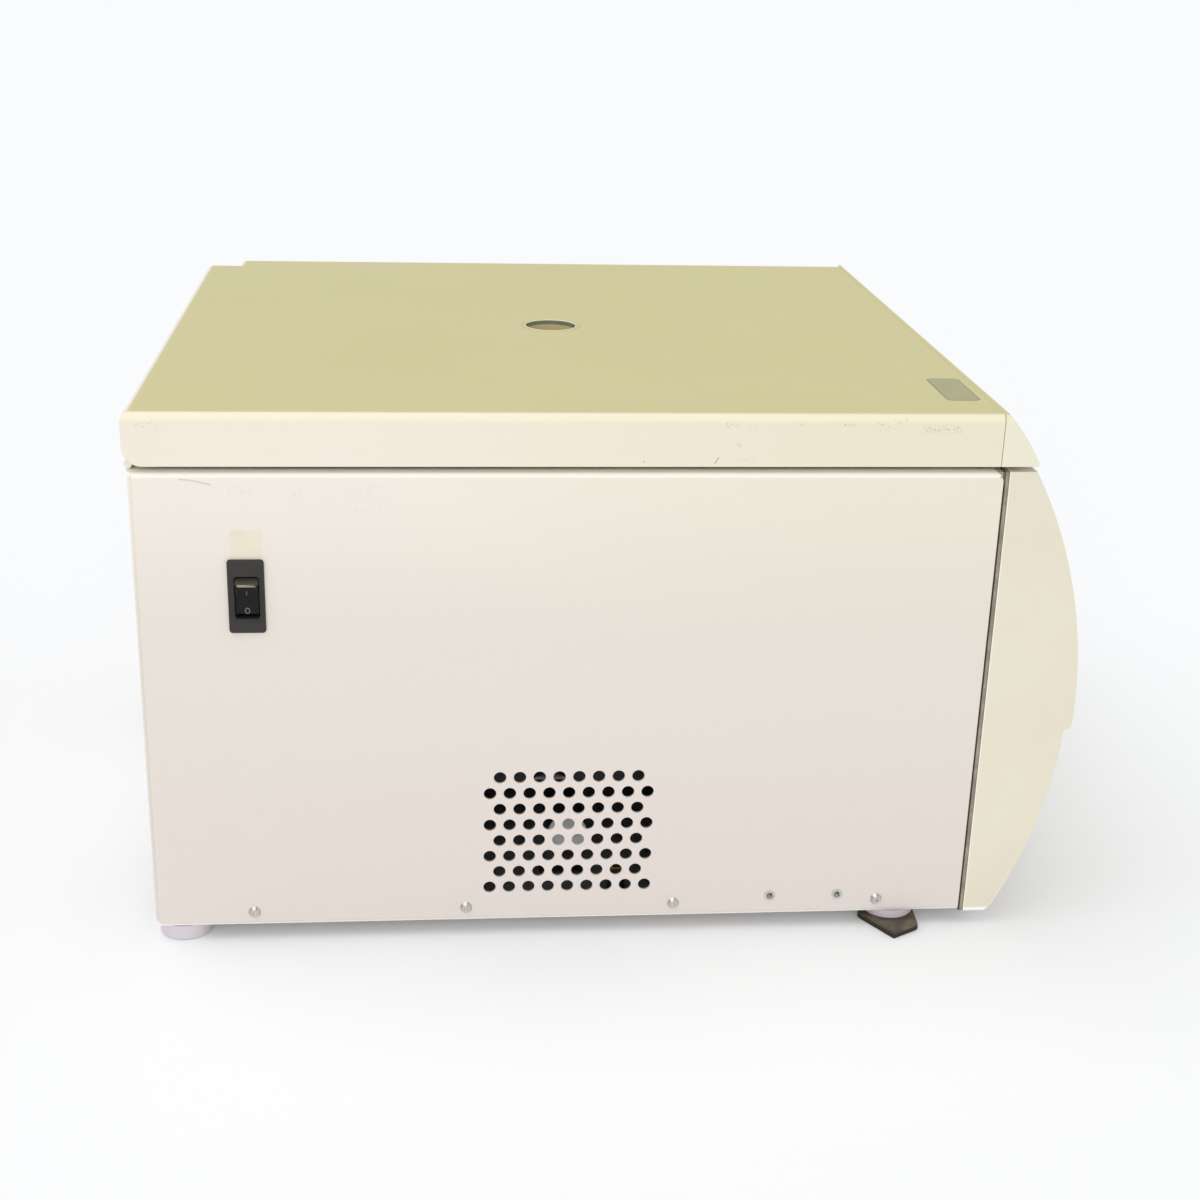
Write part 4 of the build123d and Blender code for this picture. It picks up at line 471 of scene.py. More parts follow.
def rubberSkin(name, finish, darkerSides=False, bands=()):
    base, worn, roughness, pores, depth = finish
    material, shader, place = startFinish(name, base, roughness)
    patch = spread(material, noiseField(material, place, 85.0, 5.0, 0.65), 0.38, 0.66)
    colour = mixColours(material, patch, base, worn)
    if darkerSides:
        # darker on the faces that do not point up
        colour = mixColours(material, facingUp(material, 0.2, 0.8), dimmed(base, 0.3), colour)
    colour = paintLightBands(material, splitAxes(material, place), colour, bands)
    feed(material, shader, colour)
    addBump(material, shader, cellField(material, place, pores), depth)
    addBump(material, shader, noiseField(material, place, pores * 0.4, 3.0), depth / 2)
    return material


clearFinishes = {
    "portGlazing": ((0.56, 0.49, 0.29), 0.2, 0.3),
    "windowGlazing": ((0.8, 0.84, 0.84), 0.08, 1.0),
}


def clearSheet(name, finish):
    tint, roughness, clearness = finish
    material, shader, place = startFinish(name, tint, roughness)
    shader.inputs["Transmission Weight"].default_value = clearness
    shader.inputs["IOR"].default_value = 1.49
    scratches = noiseField(material, stretch(material, place, (60.0, 900.0, 60.0)), 1.0, 2.0)
    rough = spread(material, scratches, 0.35, 0.75, roughness, roughness + 0.16)
    feed(material, shader, rough, "Roughness")
    addBump(material, shader, scratches, 0.00001)
    return material


# the port's ring: its flat rim, a painted highlight on the edge round the opening, painted shade on the wall
# below, lighter and yellower again deepest in the wall
portRing = {
    "rim": (0.6, 0.55, 0.285),
    "edge": (0.9, 0.86, 0.68),
    "wall": (0.18, 0.19, 0.13),
    "deep": (0.58, 0.5, 0.29),
    "deepLevel": (0.3365, 0.3355),
    "edgeSpan": (0.01765, 0.0179),
    "wallLevel": (0.3386, 0.339),
    # radius and height of the turned shape, in mm, with the opening's middle as its axis
    "sections": [
        (15.0, 311.0), (19.3, 311.0), (19.3, 339.0), (20.9, 339.0), (20.85, 339.1), (17.85, 339.2),
        (17.55, 339.4), (17.25, 339.25), (17.2, 339.0), (17.2, 325.0), (15.0, 325.0),
    ],
    "steps": 72,
}


def portPaint(name, centre, settings):
    material, shader, place = startFinish(name, settings["wall"], 0.45)
    x, y, z = splitAxes(material, place)
    # painted highlight on the edge round the opening, painted shade on the wall below it
    past = spread(material, axisDistance(material, x, y, centre), *settings["edgeSpan"])
    colour = mixColours(material, past, settings["edge"], settings["rim"])
    cloud = spread(material, noiseField(material, place, 60.0, 3.0), 0.3, 0.7, 0.0, 0.25)
    wall = mixColours(material, cloud, settings["wall"], dimmed(settings["wall"], 1.5))
    wall = mixColours(material, spread(material, z, *settings["deepLevel"]), wall, settings["deep"])
    level = spread(material, z, *settings["wallLevel"])
    feed(material, shader, mixColours(material, level, wall, colour))
    addBump(material, shader, noiseField(material, place, 900.0, 2.0), 0.00003)
    return material


def circuitBoard(name):
    material, shader, place = startFinish(name, (0.03, 0.17, 0.07), 0.35)
    colours = ((0.02, 0.13, 0.05), (0.03, 0.16, 0.06), (0.07, 0.3, 0.12))
    tracks = brickField(material, place, 90.0, 0.06, colours, 2.3)
    feed(material, shader, tracks["Color"])
    addBump(material, shader, tracks["Fac"], 0.00003)
    return material


def darkGlass(name):
    material, shader, place = startFinish(name, (0.035, 0.05, 0.038), 0.12)
    colours = ((0.04, 0.058, 0.042), (0.034, 0.05, 0.036), (0.024, 0.036, 0.026))
    cells = brickField(material, place, 150.0, 0.03, colours, 0.6)
    feed(material, shader, cells["Color"])
    feedGloss(material, shader, place, 240.0, 0.1, 0.18)
    return material


paintFinishes = {"motorPaint": (0.3, 0.3, 0.295), "capacitorCan": (0.93, 0.93, 0.91)}
filmFinishes = {"labelFilm": (0.86, 0.78, 0.63), "stickerFilm": (0.425, 0.405, 0.215)}
inkFinishes = {
    "whiteInk": (0.62, 0.61, 0.57),
    "rockerInk": (0.5, 0.49, 0.38),
    "dimInk": (0.22, 0.22, 0.2),
    "faintInk": (0.1, 0.1, 0.09),
    "greyInk": (0.3, 0.265, 0.17),
}


def dullPaint(name, base):
    material, shader, place = startFinish(name, base, 0.45)
    dust = spread(material, noiseField(material, place, 26.0, 5.0, 0.6), 0.45, 0.8, 0.0, 0.3)
    feed(material, shader, mixColours(material, dust, base, (0.12, 0.115, 0.105)))
    addBump(material, shader, noiseField(material, place, 420.0, 3.0), 0.0001)
    return material


def thinFilm(name, base):
    material, shader, place = startFinish(name, base, 0.36)
    fade = spread(material, noiseField(material, place, 70.0, 4.0), 0.35, 0.7, 0.0, 0.55)
    feed(material, shader, mixColours(material, fade, base, dimmed(base, 0.9)))
    addBump(material, shader, noiseField(material, place, 900.0, 2.0), 0.00002)
    return material


def printedInk(name, base):
    material, shader, place = startFinish(name, base, 0.5)
    wear = spread(material, noiseField(material, place, 1500.0, 3.0), 0.5, 0.8, 0.0, 0.5)
    feed(material, shader, mixColours(material, wear, base, dimmed(base, 0.6)))
    addBump(material, shader, noiseField(material, place, 2500.0, 1.0), 0.00001)
    return material


chamberCentre = (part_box("bowl")[0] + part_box("bowl")[1]) / 2
finishBands = {"coverMoulding": coverHighlightBands, "rockerMoulding": rockerHighlightBands, "foamStrip": sealShadeBands}
finishes = {
    name: mouldedPlastic(name, finish, finishBands.get(name, ())) for name, finish in plasticFinishes.items()
}
finishes.update({name: bareMetal(name, finish) for name, finish in metalFinishes.items()})
finishes.update({name: clearSheet(name, finish) for name, finish in clearFinishes.items()})
for rubberName, rubberFinish in rubberFinishes.items():
    finishes[rubberName] = rubberSkin(
        rubberName, rubberFinish, rubberName == "brownPad", finishBands.get(rubberName, ()),
    )
for make, name, *values in (
    (coatedSheet, "housingCoat", housingPaint, panelRubs, panelScratches),
    (coatedSheet, "lidCoat", lidPaint, lidRubs, lidScratches),
    (coatedSheet, "trimCoat", trimPaint),
    (portPaint, "portPaint", chamberCentre.y, portRing),
    (turnedSteel, "bowlSteel", chamberCentre.y),
    (circuitBoard, "circuitBoard"),
    (darkGlass, "darkDisplay"),
):
    finishes[name] = make(name, *values)
for make, family in ((dullPaint, paintFinishes), (thinFilm, filmFinishes), (printedInk, inkFinishes)):
    finishes.update({name: make(name, base) for name, base in family.items()})
print("materials made:", len(finishes))

# CAD pieces by the finish they take
nodeFinishes = {
    "housingCoat": ["side_panel_left", "side_panel_right", "rear_panel", "deck_plate"],
    "lidCoat": ["lid_shell"],
    "coverMoulding": ["front_cover"],
    "trimCoat": ["lid_front_trim"],
    "linerMoulding": ["lid_liner"],
    "portPaint": ["port_ring"],
    "portGlazing": ["port_window"],
    "windowGlazing": ["display_window"],
    "foamStrip": ["edge_seals"],
    "blackRubber": ["bowl_gasket", "lid_bumpers", "motor_mounts", "shaft_boot"],
    "brownPad": ["foot_pads"],
    "footMoulding": ["front_feet", "rear_feet"],
    "bowlSteel": ["bowl"],
    "zincSheet": [
        "base_tray", "front_bulkhead", "guard_ring", "guard_posts", "hinge_brackets", "hinge_arms",
        "latch_brackets", "latch_hooks",
    ],
    "brightSteel": [
        "motor_bearings", "drive_shaft", "rotor_nut", "trunnion_pins", "hinge_pins", "latch_shaft",
        "strikers", "side_screws", "thread_inserts", "fan_guard",
    ],
    "castAluminium": ["motor_bridge", "power_unit"],
    "rotorAnodised": ["rotor_yoke"],
    "carrierAnodised": ["plate_carrier_left", "plate_carrier_right"],
    "motorPaint": ["motor", "latch_motor"],
    "circuitBoard": ["control_board", "panel_board"],
    "darkDisplay": ["display_module"],
    "blackMoulding": ["mains_inlet", "fan_frame", "fan_impeller", "switch_body"],
    "rockerMoulding": ["rocker"],
    "bezelMoulding": ["switch_bezel"],
    "panelMoulding": ["control_panel"],
    "blueMoulding": ["open_key"],
    "keyMoulding": ["start_key", "stop_key"],
    "knobMoulding": ["speed_knob", "time_knob"],
}
dressed = set()
for finishName, members in nodeFinishes.items():
    for member in members:
        for slot in nodes[member].material_slots:
            slot.material = finishes[finishName]
        dressed.add(member)
print("CAD pieces dressed:", len(dressed), "left plain:", sorted(set(nodes) - dressed))


# mesh helpers
def toMesh(shape, name):
    bmesh.ops.recalc_face_normals(shape, faces=shape.faces)
    mesh = bpy.data.meshes.new(name)
    shape.to_mesh(mesh)
    shape.free()
    return mesh


def meshPiece(name, shape, body, finish, slotName, smooth=False):
    mesh = toMesh(shape, name)
    for polygon in mesh.polygons:
        polygon.use_smooth = smooth
    piece = addObject(name, mesh)
    for one in finish if isinstance(finish, (list, tuple)) else [finish]:
        mesh.materials.append(finishes[one])
    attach(piece, body)
    return piece


def roundedOutline(width, height, radius, steps=6):
    points = []
    for sx, sy, start in ((1, 1, 0), (-1, 1, 90), (-1, -1, 180), (1, -1, 270)):
        for i in range(steps + 1):
            angle = math.radians(start + 90 * i / steps)
            points.append((
                sx * (width / 2 - radius) + radius * math.cos(angle),
                sy * (height / 2 - radius) + radius * math.sin(angle),
            ))
    return points


def addRing(shape, points, height):
    return [shape.verts.new((x, y, height)) for x, y in points]


def joinRings(shape, first, second, index=0):
    count = len(first)
    for i in range(count):
        face = shape.faces.new((first[i], first[(i + 1) % count], second[(i + 1) % count], second[i]))
        face.material_index = index


def closeRings(shape, rings):
    # joins the last ring back to the first
    for first, second in zip(rings, rings[1:] + rings[:1]):
        joinRings(shape, first, second)


def capRings(shape, rings):
    # joins the rings in a row and shuts both ends
    for first, second in zip(rings, rings[1:]):
        joinRings(shape, first, second)
    shape.faces.new(list(reversed(rings[0])))
    shape.faces.new(rings[-1])


def ellipseOutline(width, height, steps=28):
    angles = [2 * math.pi * i / steps for i in range(steps)]
    return [(width / 2 * math.cos(angle), height / 2 * math.sin(angle)) for angle in angles]


def circleOutline(radius, steps):
    return ellipseOutline(2 * radius, 2 * radius, steps)


def revolveRings(shape, sections, steps=40):
    # sections: (radius, height) pairs from one end of the turned piece to the other
    capRings(shape, [addRing(shape, circleOutline(radius, steps), height) for radius, height in sections])


def boxShape(shape, low, high):
    for vertex in bmesh.ops.create_cube(shape, size=1.0)["verts"]:
        vertex.co = [l + (c + 0.5) * (h - l) for c, l, h in zip(vertex.co, low, high)]


def axesOn(across, out):
    z = Vector(out).normalized()
    x = Vector(across).normalized()
    return x, z.cross(x), z


def standOn(piece, origin, across, out):
    # turns a piece made round its own z axis so that it stands on a surface
    turn = Matrix(axesOn(across, out)).transposed().to_4x4()
    piece.data.transform(Matrix.Translation(Vector(origin)) @ turn)


def surfaceTree(carrier):
    mesh = nodes[carrier].data if carrier in nodes else bpy.data.objects[carrier].data
    return BVHTree.FromPolygons([v.co for v in mesh.vertices], [p.vertices[:] for p in mesh.polygons])


castFrom = 0.02  # rays that find a surface start this far off it
castReach = 0.08


def pressOn(shape, carrier, origin, across, out):
    # lays a flat shape on a piece: z in the shape is the height above its surface
    tree = surfaceTree(carrier)
    x, y, z = axesOn(across, out)
    start = Vector(origin) + z * castFrom
    for vertex in shape.verts:
        flat = start + x * vertex.co.x + y * vertex.co.y
        hit = tree.ray_cast(flat, -z, castReach)[0]
        base = hit if hit else flat - z * castFrom
        vertex.co = base + z * vertex.co.z


def inkShape(outlines, thickness):
    # thin raised print: one slab for each outline
    shape = bmesh.new()
    for outline in outlines:
        capRings(shape, [addRing(shape, outline, level) for level in (0.0, thickness)])
    return shape


# blank stickers
rearLabel = {"centre": (-0.235, 0.223, 0.2613), "size": (0.0173, 0.0163), "corner": 0.0006}
lidSticker = {
    "centre": (-0.175, -0.2015, 0.339), "size": (0.0206, 0.054), "corner": 0.004, "border": 0.0007,
}
stickerThickness = 0.00015


def makeRearLabel(settings):
    shape = inkShape([roundedOutline(*settings["size"], settings["corner"])], stickerThickness)
    pressOn(shape, "side_panel_left", settings["centre"], (0, -1, 0), (-1, 0, 0))
    meshPiece("rearLabel", shape, housing, "labelFilm", "body_paint")


def makeLidSticker(settings):
    width, length = settings["size"]
    edge = settings["border"]
    shape = bmesh.new()
    outer = roundedOutline(width, length, settings["corner"])
    inner = roundedOutline(width - 2 * edge, length - 2 * edge, settings["corner"] - edge)
    low = addRing(shape, outer, 0.0)
    rim = addRing(shape, outer, stickerThickness)
    inside = addRing(shape, inner, stickerThickness)
    joinRings(shape, low, rim, 1)
    joinRings(shape, rim, inside, 1)
    shape.faces.new(inside)
    shape.faces.new(list(reversed(low)))
    pressOn(shape, "lid_shell", settings["centre"], (0, 1, 0), (0, 0, 1))
    meshPiece("lidSticker", shape, lid, ["stickerFilm", "greyInk"], "lid_paint")


makeRearLabel(rearLabel)
makeLidSticker(lidSticker)
print("blank stickers laid")


# mains switch: rounded frame in the panel, rocker on its pins and the marks on it, with a pale line across the
# rocker's top that is a painted highlight
switchFrame = {
    # width, height, corner and height above the panel, in mm, from the outer edge in and back
    "rings": [
        (21.2, 45.2, 2.0, 0.0), (21.2, 45.2, 2.0, 1.2), (20.7, 44.7, 1.9, 1.75), (19.8, 43.8, 1.6, 2.0),
        (17.0, 29.4, 2.9, 2.0), (16.5, 28.7, 2.8, 2.15), (15.5, 27.3, 2.4, 2.85), (14.8, 26.6, 2.0, 2.9),
        (14.3, 26.1, 1.8, 2.5), (14.1, 25.9, 1.8, -7.0), (17.4, 38.0, 0.5, -7.0), (17.4, 38.0, 0.5, 0.0),
    ],
    "plateRings": 4,
    "plateShift": (-0.4, 0.3),
    "pinHole": 0.00165,
    "pinHoleReach": 0.0082,
}
rockerShape = {
    # out and up from the pins, in mm
    "profile": [
        (-1.5, 11.1), (1.4, 11.7), (6.4, 9.3), (4.4, 0.0),
        (6.4, -9.3), (1.4, -11.7), (-1.5, -11.1), (-3.4, 0.0),
    ],
    "pins": (-0.232, 0.22319, 0.2291),
    "width": 0.0136,
    "tilt": 8.0,
    "rounding": 0.0004,
    "pinRadius": 0.0015,
    "pinReach": 0.0012,
    "pinSeat": 0.0004,
    "pinChamfer": 0.0003,
}
pinSteps = 24
rockerMarks = {
    # painted highlight: pale stripe along the rocker's upper edge
    "line": {"z": 0.2371, "size": (0.0106, 0.0012), "ink": "rockerInk"},
    "bar": {"z": 0.2322, "size": (0.0005, 0.003), "ink": "faintInk"},
    "ring": {"z": 0.221, "size": (0.0029, 0.0036), "stroke": 0.0004},
    "height": 0.0001,
    "corner": 0.0002,
    "offPins": 0.008,
}


def cutWith(piece, cutter):
    # takes a second mesh out of a piece
    tool = addObject("cutter", cutter)
    cut = piece.modifiers.new("cut", "BOOLEAN")
    cut.object = tool
    cut.operation = "DIFFERENCE"
    cut.solver = "EXACT"
    whole = piece.evaluated_get(bpy.context.evaluated_depsgraph_get())
    mesh = bpy.data.meshes.new_from_object(whole)
    piece.modifiers.clear()
    piece.data = mesh
    bpy.data.objects.remove(tool)


def makeSwitchFrame(settings, rocker):
    shape = bmesh.new()
    rings = [
        addRing(shape, roundedOutline(w / 1000, h / 1000, r / 1000), level / 1000)
        for w, h, r, level in settings["rings"]
    ]
    shift = Vector((*settings["plateShift"], 0)) / 1000
    for ring in rings[:settings["plateRings"]]:
        for vertex in ring:
            vertex.co += shift
    closeRings(shape, rings)
    piece = meshPiece("switchFrame", shape, housing, "bezelMoulding", "bezel_plastic")
    x, y, z = rocker["pins"]
    standOn(piece, (-0.235, y, z), (0, -1, 0), (-1, 0, 0))
    shape = bmesh.new()
    hole, reach = settings["pinHole"], settings["pinHoleReach"]
    revolveRings(shape, [(hole, -reach), (hole, reach)], pinSteps)
    cutter = toMesh(shape, "pinHoles")
    cutter.transform(Matrix.Translation((x, y, z)) @ Matrix.Rotation(math.radians(90), 4, "X"))
    cutWith(piece, cutter)
    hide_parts("switch_bezel")


def makeRocker(settings):
    half = settings["width"] / 2
    shape = bmesh.new()
    outline = [(out / 1000, up / 1000) for out, up in settings["profile"]]
    capRings(shape, [addRing(shape, outline, side) for side in (-half, half)])
    bmesh.ops.bevel(
        shape, geom=shape.edges[:], offset=settings["rounding"], segments=3, profile=0.5, affect="EDGES",
    )
    reach = half + settings["pinReach"]
    pin, seat, chamfer = settings["pinRadius"], settings["pinSeat"], settings["pinChamfer"]
    for side in (-1, 1):
        sections = [(pin, half - seat), (pin, reach - chamfer), (pin - chamfer, reach)]
        revolveRings(shape, [(radius, side * height) for radius, height in sections], pinSteps)
    piece = meshPiece("rockerKey", shape, "switch_rocker", "rockerMoulding", "rocker_plastic")
    lean = math.radians(settings["tilt"])
    out = Vector((-math.cos(lean), 0, -math.sin(lean)))
    up = Vector((-math.sin(lean), 0, math.cos(lean)))
    turn = Matrix((out, up, out.cross(up))).transposed().to_4x4()
    piece.data.transform(Matrix.Translation(Vector(settings["pins"])) @ turn)
    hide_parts("rocker")


def ringShape(width, height, stroke, thickness):
    shape = bmesh.new()
    outer = ellipseOutline(width, height)
    inner = ellipseOutline(width - 2 * stroke, height - 2 * stroke)
    rings = [addRing(shape, points, level) for points, level in (
        (outer, 0.0), (outer, thickness), (inner, thickness), (inner, 0.0)
    )]
    closeRings(shape, rings)
    return shape


def makeRockerMarks(settings, rocker):
    x, y = rocker["pins"][0] - settings["offPins"], rocker["pins"][1]
    across, out = (0, -1, 0), (-1, 0, 0)
    # the line is a painted highlight; the bar and the ring are the printed I and O
    for name in ("line", "bar"):
        mark = settings[name]
        shape = inkShape([roundedOutline(*mark["size"], settings["corner"], 3)], settings["height"])
        pressOn(shape, "rockerKey", (x, y, mark["z"]), across, out)
        meshPiece("rocker" + name.capitalize(), shape, "switch_rocker", mark["ink"], "rocker_plastic")
    ring = settings["ring"]
    shape = ringShape(*ring["size"], ring["stroke"], settings["height"])
    pressOn(shape, "rockerKey", (x, y, ring["z"]), across, out)
    meshPiece("rockerRing", shape, "switch_rocker", "dimInk", "rocker_plastic")


makeSwitchFrame(switchFrame, rockerShape)
makeRocker(rockerShape)
makeRockerMarks(rockerMarks, rockerShape)
print("mains switch fitted")


# brown pads under the front feet, cut by hand: plan corners (x, y) in mm and how far each is rounded
padShape = {
    "corners": [
        (-251.6, -174.8, 0.8), (-241.2, -193.0, 2.4), (-212.0, -194.6, 3.0), (-202.0, -176.0, 3.0),
        (-223.0, -156.4, 3.4),
    ],
    "levels": [(0.0, 0.5), (0.6, 0.0), (3.4, 0.0), (4.0, 0.5)],
}


def roundedCorners(corners, inset=0.0, steps=5):
    # plan outline in metres with each corner turned on its own radius
    points = []
    count = len(corners)
    middle = Vector((sum(c[0] for c in corners) / count, sum(c[1] for c in corners) / count))
    for i, (x, y, radius) in enumerate(corners):
        here = Vector((x, y))
        before = (Vector(corners[i - 1][:2]) - here).normalized()
        after = (Vector(corners[(i + 1) % count][:2]) - here).normalized()
        start, end = here + before * radius, here + after * radius
        for step in range(steps + 1):
            t = step / steps
            point = start * (1 - t) ** 2 + here * 2 * t * (1 - t) + end * t ** 2
            point -= (point - middle).normalized() * inset
            points.append((point.x / 1000, point.y / 1000))
    return points


def makeFootPads(settings):
    shape = bmesh.new()
    for side in (1, -1):
        rings = []
        for level, inset in settings["levels"]:
            outline = [(x * side, y) for x, y in roundedCorners(settings["corners"], inset)]
            rings.append(addRing(shape, outline, level / 1000))
        capRings(shape, rings)
    piece = meshPiece("footPads", shape, housing, "brownPad", "pad_brown")
    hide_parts("foot_pads")


makeFootPads(padShape)
print("pads laid")


def makePortRing(settings, centre):
    shape = bmesh.new()
    rings = [
        addRing(shape, circleOutline(radius / 1000, settings["steps"]), height / 1000)
        for radius, height in settings["sections"]
    ]
    closeRings(shape, rings)
    piece = meshPiece("portRing", shape, lid, "portPaint", "port_plastic")
    piece.data.transform(Matrix.Translation((0, centre, 0)))
    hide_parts("port_ring")


makePortRing(portRing, chamberCentre.y)
print("port ring turned")


# thin filler where the lid's sheet meets its front trim
lidSeam = {"x": 0.2325, "y": (-0.217, -0.21655), "z": (0.336, 0.33885), "edge": 0.00008}


def makeLidSeam(settings):
    shape = bmesh.new()
    x, y, z = settings["x"], settings["y"], settings["z"]
    boxShape(shape, (-x, y[0], z[0]), (x, y[1], z[1]))
    bmesh.ops.bevel(shape, geom=shape.edges[:], offset=settings["edge"], segments=1, affect="EDGES")
    meshPiece("lidSeam", shape, lid, "trimCoat", "trim_plastic")


makeLidSeam(lidSeam)
print("lid seam closed")


# screw threads inside the four open inserts
threadSettings = {
    "radius": 0.00196, "wire": 0.00016, "pitch": 0.0007, "turns": 9, "steps": 20, "mouth": 0.0006,
}


def makeThread(name, mouth, out, settings):
    curve = bpy.data.curves.new(name, "CURVE")
    curve.dimensions = "3D"
    curve.bevel_depth = settings["wire"]
    curve.bevel_resolution = 1
    spline = curve.splines.new("POLY")
    steps = settings["steps"]
    spline.points.add(settings["turns"] * steps)
    for i, point in enumerate(spline.points):
        angle = 2 * math.pi * i / steps
        depth = settings["mouth"] + settings["pitch"] * i / steps
        point.co = (
            mouth.x - out * depth,
            mouth.y + settings["radius"] * math.cos(angle),
            mouth.z + settings["radius"] * math.sin(angle),
            1.0,
        )
    piece = addObject(name, curve)
    curve.materials.append(finishes["brightSteel"])
    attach(piece, housing)


def insertMouths():
    low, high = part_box("thread_inserts")
    radius = (high.z - low.z) / 2
    for side, x in (("Left", low.x), ("Right", high.x)):
        for end, y in (("Front", low.y + radius), ("Back", high.y - radius)):
            yield side + end, Vector((x, y, low.z + radius)), -1 if x < 0 else 1


for threadName, mouth, out in insertMouths():
    makeThread("thread" + threadName, mouth, out, threadSettings)
print("threads cut")


# run capacitor and earth bar that show through the side vents
capacitorSettings = {
    "face": (-0.205, 0.0312, 0.0555),
    "radius": 0.0124,
    "length": 0.052,
    # how far inside the radius, and height, from the bare end back
    "profile": [
        (0.003, 0.001), (0.0022, 0.0004), (0.0009, 0.0004), (0.0003, 0.0), (0.0, 0.0005),
        (0.0, 0.0026), (0.0006, 0.0034), (0.0006, 0.0044), (0.0, 0.0052),
    ],
    "chamfer": 0.0014,
    "bareDepth": 0.0012,
    "band": 0.01,
    "bandAt": 0.55,
    "bandGap": 0.0001,
    "bandSteps": 44,
    "plate": 0.0016,
    "footReach": 0.016,
}
earthBarSettings = {
    "middle": (-0.205, -0.001, 0.0289), "length": 0.0115, "side": 0.003, "edge": 0.0005, "screws": 2,
    "screwProfile": [(0.0007, -0.0008), (0.0007, 0.0), (0.0014, 0.0), (0.0014, 0.0008), (0.0011, 0.0012)],
    "postRadii": (0.0022, 0.0016), "postShoulder": 0.9,
}


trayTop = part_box("guard_posts")[0].z


def makeCapacitor(settings):
    face = Vector(settings["face"])
    r = settings["radius"]
    length, chamfer = settings["length"], settings["chamfer"]
    shape = bmesh.new()
    profile = [(r - inset, height) for inset, height in settings["profile"]]
    revolveRings(shape, profile + [(r, length - chamfer), (r - chamfer, length)])
    for polygon in shape.faces:
        # black sleeve behind the bare end
        polygon.material_index = 0 if max(v.co.z for v in polygon.verts) < settings["bareDepth"] else 1
    can = meshPiece(
        "runCapacitor", shape, housing, ["capacitorCan", "blackMoulding"], "aluminium", True,
    )
    standOn(can, face, (0, 1, 0), (1, 0, 0))
    shape = bmesh.new()
    middle = face.x + length * settings["bandAt"]
    half, plate, foot = settings["band"] / 2, settings["plate"], settings["footReach"]
    outer, inner = r + plate, r + settings["bandGap"]
    steps = settings["bandSteps"]
    closeRings(shape, [
        [shape.verts.new((middle + level, face.y + y, face.z + z)) for y, z in circleOutline(radius, steps)]
        for radius, level in ((outer, -half), (outer, half), (inner, half), (inner, -half))
    ])
    for reach, top in ((plate / 2, face.z - r), (foot, trayTop + plate)):
        boxShape(shape, (middle - half, face.y - reach, trayTop), (middle + half, face.y + reach, top))
    meshPiece("capacitorClamp", shape, housing, "blackMoulding", "black_plastic")


def makeEarthBar(settings):
    middle = Vector(settings["middle"])
    side = settings["side"]
    length = settings["length"]
    shape = bmesh.new()
    half = (side / 2, length / 2, side / 2)
    boxShape(shape, [m - h for m, h in zip(middle, half)], [m + h for m, h in zip(middle, half)])
    bmesh.ops.bevel(shape, geom=shape.edges[:], offset=settings["edge"], segments=2, affect="EDGES")
    meshPiece("earthBar", shape, housing, "brassBar", "fastener_steel")
    pitch = length / settings["screws"]
    for i in range(settings["screws"]):
        y = middle.y + (i - (settings["screws"] - 1) / 2) * pitch
        shape = bmesh.new()
        revolveRings(shape, settings["screwProfile"], 20)
        screw = meshPiece(f"earthScrew{i}", shape, housing, "brightSteel", "fastener_steel")
        standOn(screw, (middle.x, y, middle.z + side / 2), (1, 0, 0), (0, 0, 1))
    wide, narrow = settings["postRadii"]
    height = middle.z - side / 2 - trayTop
    for end in (-1, 1):
        y = middle.y + end * (length / 2 - wide)
        shape = bmesh.new()
        revolveRings(shape, [(wide, 0.0), (wide, height * settings["postShoulder"]), (narrow, height)], 6)
        post = meshPiece(
            f"earthPost{'A' if end < 0 else 'B'}", shape, housing,
            "blackMoulding", "black_plastic",
        )
        standOn(post, (middle.x, y, trayTop), (1, 0, 0), (0, 0, 1))


makeCapacitor(capacitorSettings)
makeEarthBar(earthBarSettings)
print("vent-side pieces fitted")


# printed marks on the control panel: ticks round the knobs and plain key symbols
panelMarks = {
    "tickStart": -135, "tickEnd": 135, "ticks": 19, "inner": 0.02, "short": 0.0022, "long": 0.0036,
    "width": 0.0006, "height": 0.0001, "symbolDrop": 0.0068,
}


def panelOut(node):
    direction = {joint["child"]: joint["axis"] for joint in frame["joints"]}
    body = next(b for b, members in frame["record"]["behaviour"]["bodies"].items() if node in members)
    axis = Vector(direction[body]).normalized()
    return axis if axis.y < 0 else -axis


def tickOutlines(settings):
    outlines = []
    count = settings["ticks"]
    for i in range(count):
        angle = math.radians(
            90 - settings["tickStart"] - (settings["tickEnd"] - settings["tickStart"]) * i / (count - 1)
        )
        reach = settings["long"] if i % 3 == 0 else settings["short"]
        start, end = settings["inner"], settings["inner"] + reach
        along = Vector((math.cos(angle), math.sin(angle)))
        side = Vector((-along.y, along.x)) * settings["width"] / 2
        outlines.append([
            tuple(along * start + side), tuple(along * start - side),
            tuple(along * end - side), tuple(along * end + side),
        ])
    return outlines


def makeDialTicks(node, settings):
    out = panelOut(node)
    joint = next(j for j in frame["joints"] if j["child"] == node.replace("knob", "dial"))
    shape = inkShape(tickOutlines(settings), settings["height"])
    pressOn(shape, "control_panel", Vector(joint["pos_m"]), (1, 0, 0), out)
    meshPiece(node.split("_")[0] + "Ticks", shape, housing, "whiteInk", "panel_plastic")


keySymbols = {
    "open_key": [[(-0.003, 0.0002), (0.003, 0.0002), (0.0, 0.0034)],
                 [(-0.003, -0.0024), (0.003, -0.0024), (0.003, -0.0012), (-0.003, -0.0012)]],
    "start_key": [[(-0.0022, -0.0028), (0.003, 0.0), (-0.0022, 0.0028)]],
    "stop_key": [[(-0.0024, -0.0024), (0.0024, -0.0024), (0.0024, 0.0024), (-0.0024, 0.0024)]],
}
